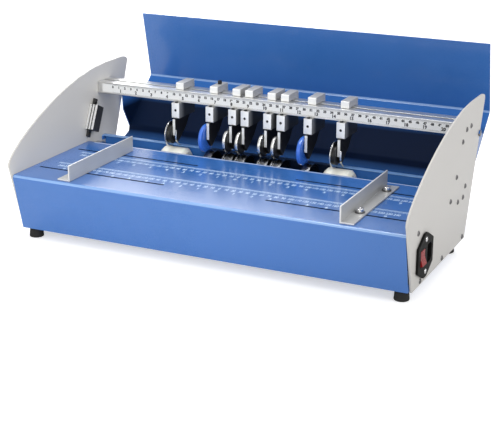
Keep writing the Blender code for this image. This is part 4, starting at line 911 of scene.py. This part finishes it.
def prong(x):
    """Bent strip beside the arm, its path in the YZ plane from the shaft."""
    strip = bmesh.new()
    points = [Vector((0, SHAFT_Y + y * MM, z * MM)) for y, z in PRONG_PATH]
    rows = []
    for index, point in enumerate(points):
        along = (points[min(index + 1, len(points) - 1)] - points[max(index - 1, 0)]).normalized()
        out = Vector((0, along.z, -along.y)) * PRONG_T / 2
        rows.append([strip.verts.new((x + dx, point.y + sign * out.y, point.z + sign * out.z))
                     for dx, sign in ((0, -1), (PRONG_W, -1), (PRONG_W, 1), (0, 1))])
    for first, second in zip(rows, rows[1:]):
        for side in range(4):
            strip.faces.new((first[side], first[(side + 1) % 4], second[(side + 1) % 4], second[side]))
    strip.faces.new(rows[0])
    strip.faces.new(rows[-1])
    bmesh.ops.recalc_face_normals(strip, faces=strip.faces)
    return meshed(strip, "prong")


for number in (1, 8):
    arm_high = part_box(f"head_arm_{number}")[1]
    strip = in_scene(f"prong_{number}", prong(arm_high.x + PLAY), spring_steel)
    fitted(broken_edges(strip, 0.12 * MM, 1), f"head_{number}", "steel")

# Wheels of the heads
# Feed wheels are a thin ground disc on a dark hub, the blades a thick blue
# disc, and the creasing wheels polished steel with one rib. A creasing wheel's
# right side is painted near black: painted shade.
WHEEL_SIDES = 96
low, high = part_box("head_wheel_1")
WHEEL_Z = (low.z + high.z) / 2
AXLE_R = 2.9 * MM
FEED_R = 19 * MM
FEED_DISC_W = 1.8 * MM
FEED_HUB_R = 13.5 * MM
BLADE_R = 20 * MM
BLADE_DISH_R = 14 * MM
CREASE_R = 16.4 * MM
RIB_R = 16.9 * MM
RIB_HALF_W = 0.6 * MM
CHEEK_T = 0.8 * MM
blue_disc = turned_metal("blue_disc", (0.030, 0.135, 0.60), (0.050, 0.19, 0.74), 0.28, WHEEL_Z, metallic=0.0,
                         coat_weight=0.4)
wheel_steel = turned_metal("wheel_steel", (0.66, 0.66, 0.66), (0.84, 0.84, 0.83), 0.2, WHEEL_Z)
# Black hub of the feed wheels; the same near black paints shade on a creasing wheel's right side.
dark_hub = turned_metal("dark_hub", (0.010, 0.010, 0.011), (0.03, 0.03, 0.03), 0.35, WHEEL_Z, metallic=0.5)


def eased(points, radius, steps=3):
    """Closed outline with each corner rounded off by a short arc."""
    smoothed = []
    count = len(points)
    for index in range(count):
        before, corner, after = (Vector(points[(index + shift) % count]) for shift in (-1, 0, 1))
        to_before, to_after = before - corner, after - corner
        reach = min(radius, to_before.length / 3, to_after.length / 3)
        start = corner + to_before.normalized() * reach
        end = corner + to_after.normalized() * reach
        for step in range(steps + 1):
            t = step / steps
            smoothed.append(tuple(start * (1 - t) ** 2 + corner * 2 * t * (1 - t) + end * t * t))
    return smoothed


def wheel_outlines(kind, left, right):
    """Outlines of a wheel's parts as (place, radius), with their finish."""
    if kind == "feed":
        disc = left + FEED_DISC_W
        edge = FEED_R - MM
        return [(wheel_steel, [(left, AXLE_R), (left, edge), (left + 0.5 * MM, FEED_R),
                               (disc - 0.5 * MM, FEED_R), (disc, edge), (disc, AXLE_R)]),
                (dark_hub, [(disc, AXLE_R), (disc, FEED_HUB_R), (right, FEED_HUB_R), (right, AXLE_R)])]
    if kind == "blade":
        return [(blue_disc, [(left, AXLE_R), (left, BLADE_R - 1.6 * MM), (left + 1.6 * MM, BLADE_R),
                             (right, BLADE_R), (right, BLADE_DISH_R), (right - MM, BLADE_DISH_R - MM),
                             (right - MM, AXLE_R)])]
    middle = (left + right) / 2
    cheek = right - CHEEK_T
    foot = RIB_HALF_W + RIB_R - CREASE_R
    return [(wheel_steel, [(left, AXLE_R), (left, CREASE_R), (middle - foot, CREASE_R),
                           (middle - RIB_HALF_W, RIB_R), (middle + RIB_HALF_W, RIB_R),
                           (middle + foot, CREASE_R), (cheek, CREASE_R), (cheek, AXLE_R)]),
            # The dark ring on the right side is painted shade.
            (dark_hub, [(cheek, AXLE_R), (cheek, CREASE_R - 1.2 * MM), (right, CREASE_R - 1.8 * MM),
                        (right, AXLE_R)])]


def turned_piece(name, outlines, axis_z, sides, corner):
    """One turned piece of several rings, each with its own finish."""
    whole = bmesh.new()
    for index, (_, outline) in enumerate(outlines):
        ring = turned(eased(outline, corner), sides)
        ring.transform(Matrix.Translation((0, SHAFT_Y, axis_z)))
        start = len(whole.faces)
        whole.from_mesh(ring)
        whole.faces.ensure_lookup_table()
        for face in whole.faces[start:]:
            face.material_index = index
    return smooth(in_scene(name, meshed(whole, name), *(finish for finish, _ in outlines)), 40)


for number, kind in WHEEL_KINDS.items():
    low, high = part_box(f"head_wheel_{number}")
    slot = {"feed": "dark_steel", "blade": "blue_wheel", "crease": "steel"}[kind]
    wheel = turned_piece(f"{kind}_wheel_{number}", wheel_outlines(kind, low.x, high.x), WHEEL_Z,
                         WHEEL_SIDES, 0.35 * MM)
    fitted(wheel, f"wheel_{number}", slot, f"head_wheel_{number}")

# Collars on the shaft
# Under each head a collar is fixed to the shaft: turned nylon under the feed
# wheels, ground steel under the others, grooved where the wheel has its rib.
# The steel collars are drawn nearly black: painted shade under the wheels.
BORE_R = 8.3 * MM
NYLON_R = 19 * MM
NYLON_CHAMFER = 4.5 * MM
COLLAR_R = 21.6 * MM
COLLAR_EASE = 0.8 * MM
GROOVE_AT = 4.9 * MM
GROOVE_HALF_W = 1.3 * MM
GROOVE_FLOOR_R = 20 * MM
nylon = turned_metal("cream_nylon", (0.82, 0.82, 0.74), (0.92, 0.92, 0.85), 0.42, SHAFT_Z, metallic=0.0,
                     depth=0.02 * MM, subsurface_weight=0.08, subsurface_radius=(2 * MM, 1.5 * MM, MM))
# Nearly black steel: painted shade in the slot under the wheels.
collar_steel = turned_metal("collar_steel", (0.07, 0.072, 0.078), (0.16, 0.163, 0.17), 0.26, SHAFT_Z)


def collar_outline(kind, left, right):
    if kind == "feed":
        end_r = NYLON_R - NYLON_CHAMFER
        return [(left, BORE_R), (left, end_r), (left + NYLON_CHAMFER, NYLON_R),
                (right - NYLON_CHAMFER, NYLON_R), (right, end_r), (right, BORE_R)]
    end_r = COLLAR_R - COLLAR_EASE
    outline = [(left, BORE_R), (left, end_r), (left + COLLAR_EASE, COLLAR_R)]
    if kind == "crease":
        near, far = left + GROOVE_AT - GROOVE_HALF_W, left + GROOVE_AT + GROOVE_HALF_W
        outline += [(near, COLLAR_R), (near, GROOVE_FLOOR_R), (far, GROOVE_FLOOR_R), (far, COLLAR_R)]
    return outline + [(right - COLLAR_EASE, COLLAR_R), (right, end_r), (right, BORE_R)]


for number, kind in WHEEL_KINDS.items():
    low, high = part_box(f"shaft_collar_{number}")
    finish = nylon if kind == "feed" else collar_steel
    collar = turned_piece(f"{kind}_collar_{number}", [(finish, collar_outline(kind, low.x, high.x))],
                          SHAFT_Z, WHEEL_SIDES, 0.5 * MM)
    fitted(collar, f"collar_{number}", "cream_nylon" if kind == "feed" else "steel",
           f"shaft_collar_{number}")

# Rear cover
# One folded blue sheet with an end plate and a pivot stud on each side. It is
# thrown back in use, and swings forward over the heads for storage. Low down
# on the inside, and on the end plates' inner faces, it is painted near black
# as painted shade.
HINGE = Vector(next(joint["pos_m"] for joint in frame["joints"] if joint["name"] == "cover_hinge"))
PANEL_TOP = 157 * MM
LIP_TOP = 110 * MM
STUD_R = 4.5 * MM
STUD_START = 270 * MM
# Heights of the painted shade inside the cover: near black around the middle, own colour beyond the far
# distance.
COVER_SHADE_MIDDLE = 105 * MM
COVER_SHADE_NEAR = 21 * MM
COVER_SHADE_FAR = 39 * MM
inner_coat = powder_coat("inner_coat", BLUE_DEEP, BLUE_PALE, 0.55,
                         (2, COVER_SHADE_MIDDLE, COVER_SHADE_NEAR, COVER_SHADE_FAR, SHADE_BLUE), specular_ior_level=0.06)
cover = dressed("rear_cover", "cover", "blue_paint", blue_coat, 0.3 * MM, 2)
rubbed_folds(cover)
for finish in (inner_coat, screw_zinc):
    cover.data.materials.append(finish.material)
# Low inside faces and the end plates' inner faces take the painted shade.
for face in cover.data.polygons:
    from_hinge = face.center - HINGE
    low_inside = face.normal.y < -0.3 and face.normal.z > 0.1 and face.center.z < PANEL_TOP
    cheek_inside = face.normal.x * face.center.x < 0 and abs(face.normal.x) > 0.9
    if cheek_inside or low_inside and (face.material_index == 0 or face.center.z < LIP_TOP):
        face.material_index = 2
    elif math.hypot(from_hinge.y, from_hinge.z) < STUD_R and abs(from_hinge.x) > STUD_START:
        face.material_index = 3

# Magnet catches
# A black moulded catch on the inside of each side plate, with bright pole
# plates that the closed cover's front panel lies on.
black_plastic = mottled("black_moulded", 1900, 2, (0.012, 0.012, 0.013), (0.03, 0.03, 0.032), 0.42, 0.2,
                        0.05 * MM)
pole_steel = metal("pole_steel", (0.66, 0.66, 0.66), (0.84, 0.84, 0.84), 0.28, (1, 0.1, 0.1), metallic=0.5)
CATCH_WAY = Vector((0, -0.904, 0.427))
POLE_DEPTH = 0.6 * MM
LUG_T = 3 * MM
LUG_SET = 5.9 * MM
LUG_SCREW_R = 2.6 * MM
for label in ("left", "right"):
    catch = dressed(f"magnet_catch_{label}", "base", "dark_steel", black_plastic, 0.3 * MM, 2)
    catch.data.materials.append(pole_steel.material)
    front = max(face.center.dot(CATCH_WAY) for face in catch.data.polygons)
    for face in catch.data.polygons:
        ahead = front - face.center.dot(CATCH_WAY)
        if ahead < POLE_DEPTH and face.normal.dot(CATCH_WAY) > 0.3:
            face.material_index = 1
    side = 1 if label == "left" else -1
    low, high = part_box(f"magnet_catch_{label}")
    seat = (low.x if side > 0 else high.x) + side * LUG_T
    spots = [(side * seat, corner.y + way * LUG_SET, corner.z + way * LUG_SET)
             for corner, way in ((low, 1), (high, -1))]
    lug_screws = screwed(f"magnet_catch_{label}_screws", spots, black_steel, LUG_SCREW_R)
    if side < 0:
        turn_over(lug_screws)
    fitted(lug_screws, "base", "dark_steel")

# Power inlet and rocker
# A moulded appliance inlet with an earth pin and two others, held by two
# chrome screws, and a red rocker that switches the machine on and off.
screw_chrome = metal("screw_chrome", (0.62, 0.62, 0.63), (0.82, 0.82, 0.83), 0.16, (1, 1, 1))
inlet_black = mottled("inlet_black", 1400, 2, (0.004, 0.004, 0.004), (0.011, 0.011, 0.011), 0.45, 0.2,
                      0.03 * MM, specular_ior_level=0.1)
dressed("power_inlet", "base", "black_plastic", inlet_black, 0.3 * MM, 2)
inlet_low, inlet_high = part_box("power_inlet")
inlet_y = (inlet_low.y + inlet_high.y) / 2
inlet_z = (inlet_low.z + inlet_high.z) / 2
INLET_SCREW_OUT = 20.5 * MM
INLET_SCREW_R = 3.2 * MM
INLET_SCREW_RISE = 1.4 * MM
inlet_spots = [(inlet_high.x, inlet_y, inlet_z + way * INLET_SCREW_OUT) for way in (-1, 1)]
inlet_screws = screwed("inlet_screws", inlet_spots, screw_chrome, INLET_SCREW_R, INLET_SCREW_RISE)
fitted(inlet_screws, "base", "chrome")
SOCKET_BACK = 13.8 * MM
PIN_ROOT = 16.5 * MM
PIN_TIP = 3.5 * MM
PIN_HALF_W = 2 * MM
PIN_HALF_T = 0.9 * MM
PIN_PLACES = ((-2, 7), (-2, -7), (2, 0))
pins = bmesh.new()
for back, rise in PIN_PLACES:
    y = inlet_y + SOCKET_BACK + back * MM
    z = inlet_z + rise * MM
    pins.from_mesh(bar(inlet_high.x - PIN_ROOT, inlet_high.x - PIN_TIP, y - PIN_HALF_W, y + PIN_HALF_W,
                       z - PIN_HALF_T, z + PIN_HALF_T))
inlet_pins = broken_edges(in_scene("inlet_pins", meshed(pins, "inlet_pins"), screw_chrome), 0.4 * MM, 3)
fitted(inlet_pins, "base", "chrome")
red = mottled("red_rocker", 180, 2, (0.22, 0.006, 0.008), (0.32, 0.012, 0.014), 0.24, 0.08,
              specular_ior_level=0.22)
dressed("rocker_switch", "rocker", "red_switch", red, 0.5 * MM, 3)

# Paper guides and their screws
# Two brushed aluminium angles stand on the table. Each is held through its
# foot by two chrome screws on zinc washers, which slide in the table's slots.
guide_metal = metal("guide_brushed", (0.44, 0.445, 0.45), (0.58, 0.585, 0.59), 0.38, (1, 0.015, 1),
                    metallic=0.3)
chrome = metal("chrome_plate", (0.74, 0.74, 0.75), (0.86, 0.86, 0.87), 0.12, (1, 1, 1), 0.002 * MM)
guide_cut = metal("guide_cut", (0.66, 0.66, 0.67), (0.82, 0.82, 0.83), 0.35, (1, 1, 0.05), metallic=0.35)
GUIDE_FOOT_T = 2 * MM
WASHER_R = 6.2 * MM
WASHER_T = 1.6 * MM
GUIDE_EDGE = 0.5 * MM
for label in ("left", "right"):
    guide = dressed(f"{label}_guide", f"{label}_guide_body", "aluminium", guide_metal, 0.35 * MM, 2)
    guide.data.materials.append(guide_cut.material)
    guide_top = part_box(f"{label}_guide")[1].z
    for face in guide.data.polygons:
        if face.normal.y < -0.5 or face.center.z > guide_top - GUIDE_EDGE:
            face.material_index = 1
    for row in ("front", "rear"):
        node = f"{label}_guide_screw_{row}"
        dressed(node, f"{label}_screw_{row}", "chrome", chrome, 0.3 * MM, 2, 40)
        low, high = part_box(node)
        x, y = (low.x + high.x) / 2, (low.y + high.y) / 2
        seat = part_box(f"{label}_guide")[0].z + GUIDE_FOOT_T
        washer_mesh = upright_rod(x, y, seat, seat + WASHER_T, WASHER_R, 40)
        washer = broken_edges(in_scene(f"{node}_washer", washer_mesh, screw_zinc), 0.2 * MM, 2)
        fitted(washer, f"{label}_guide_body", "steel")
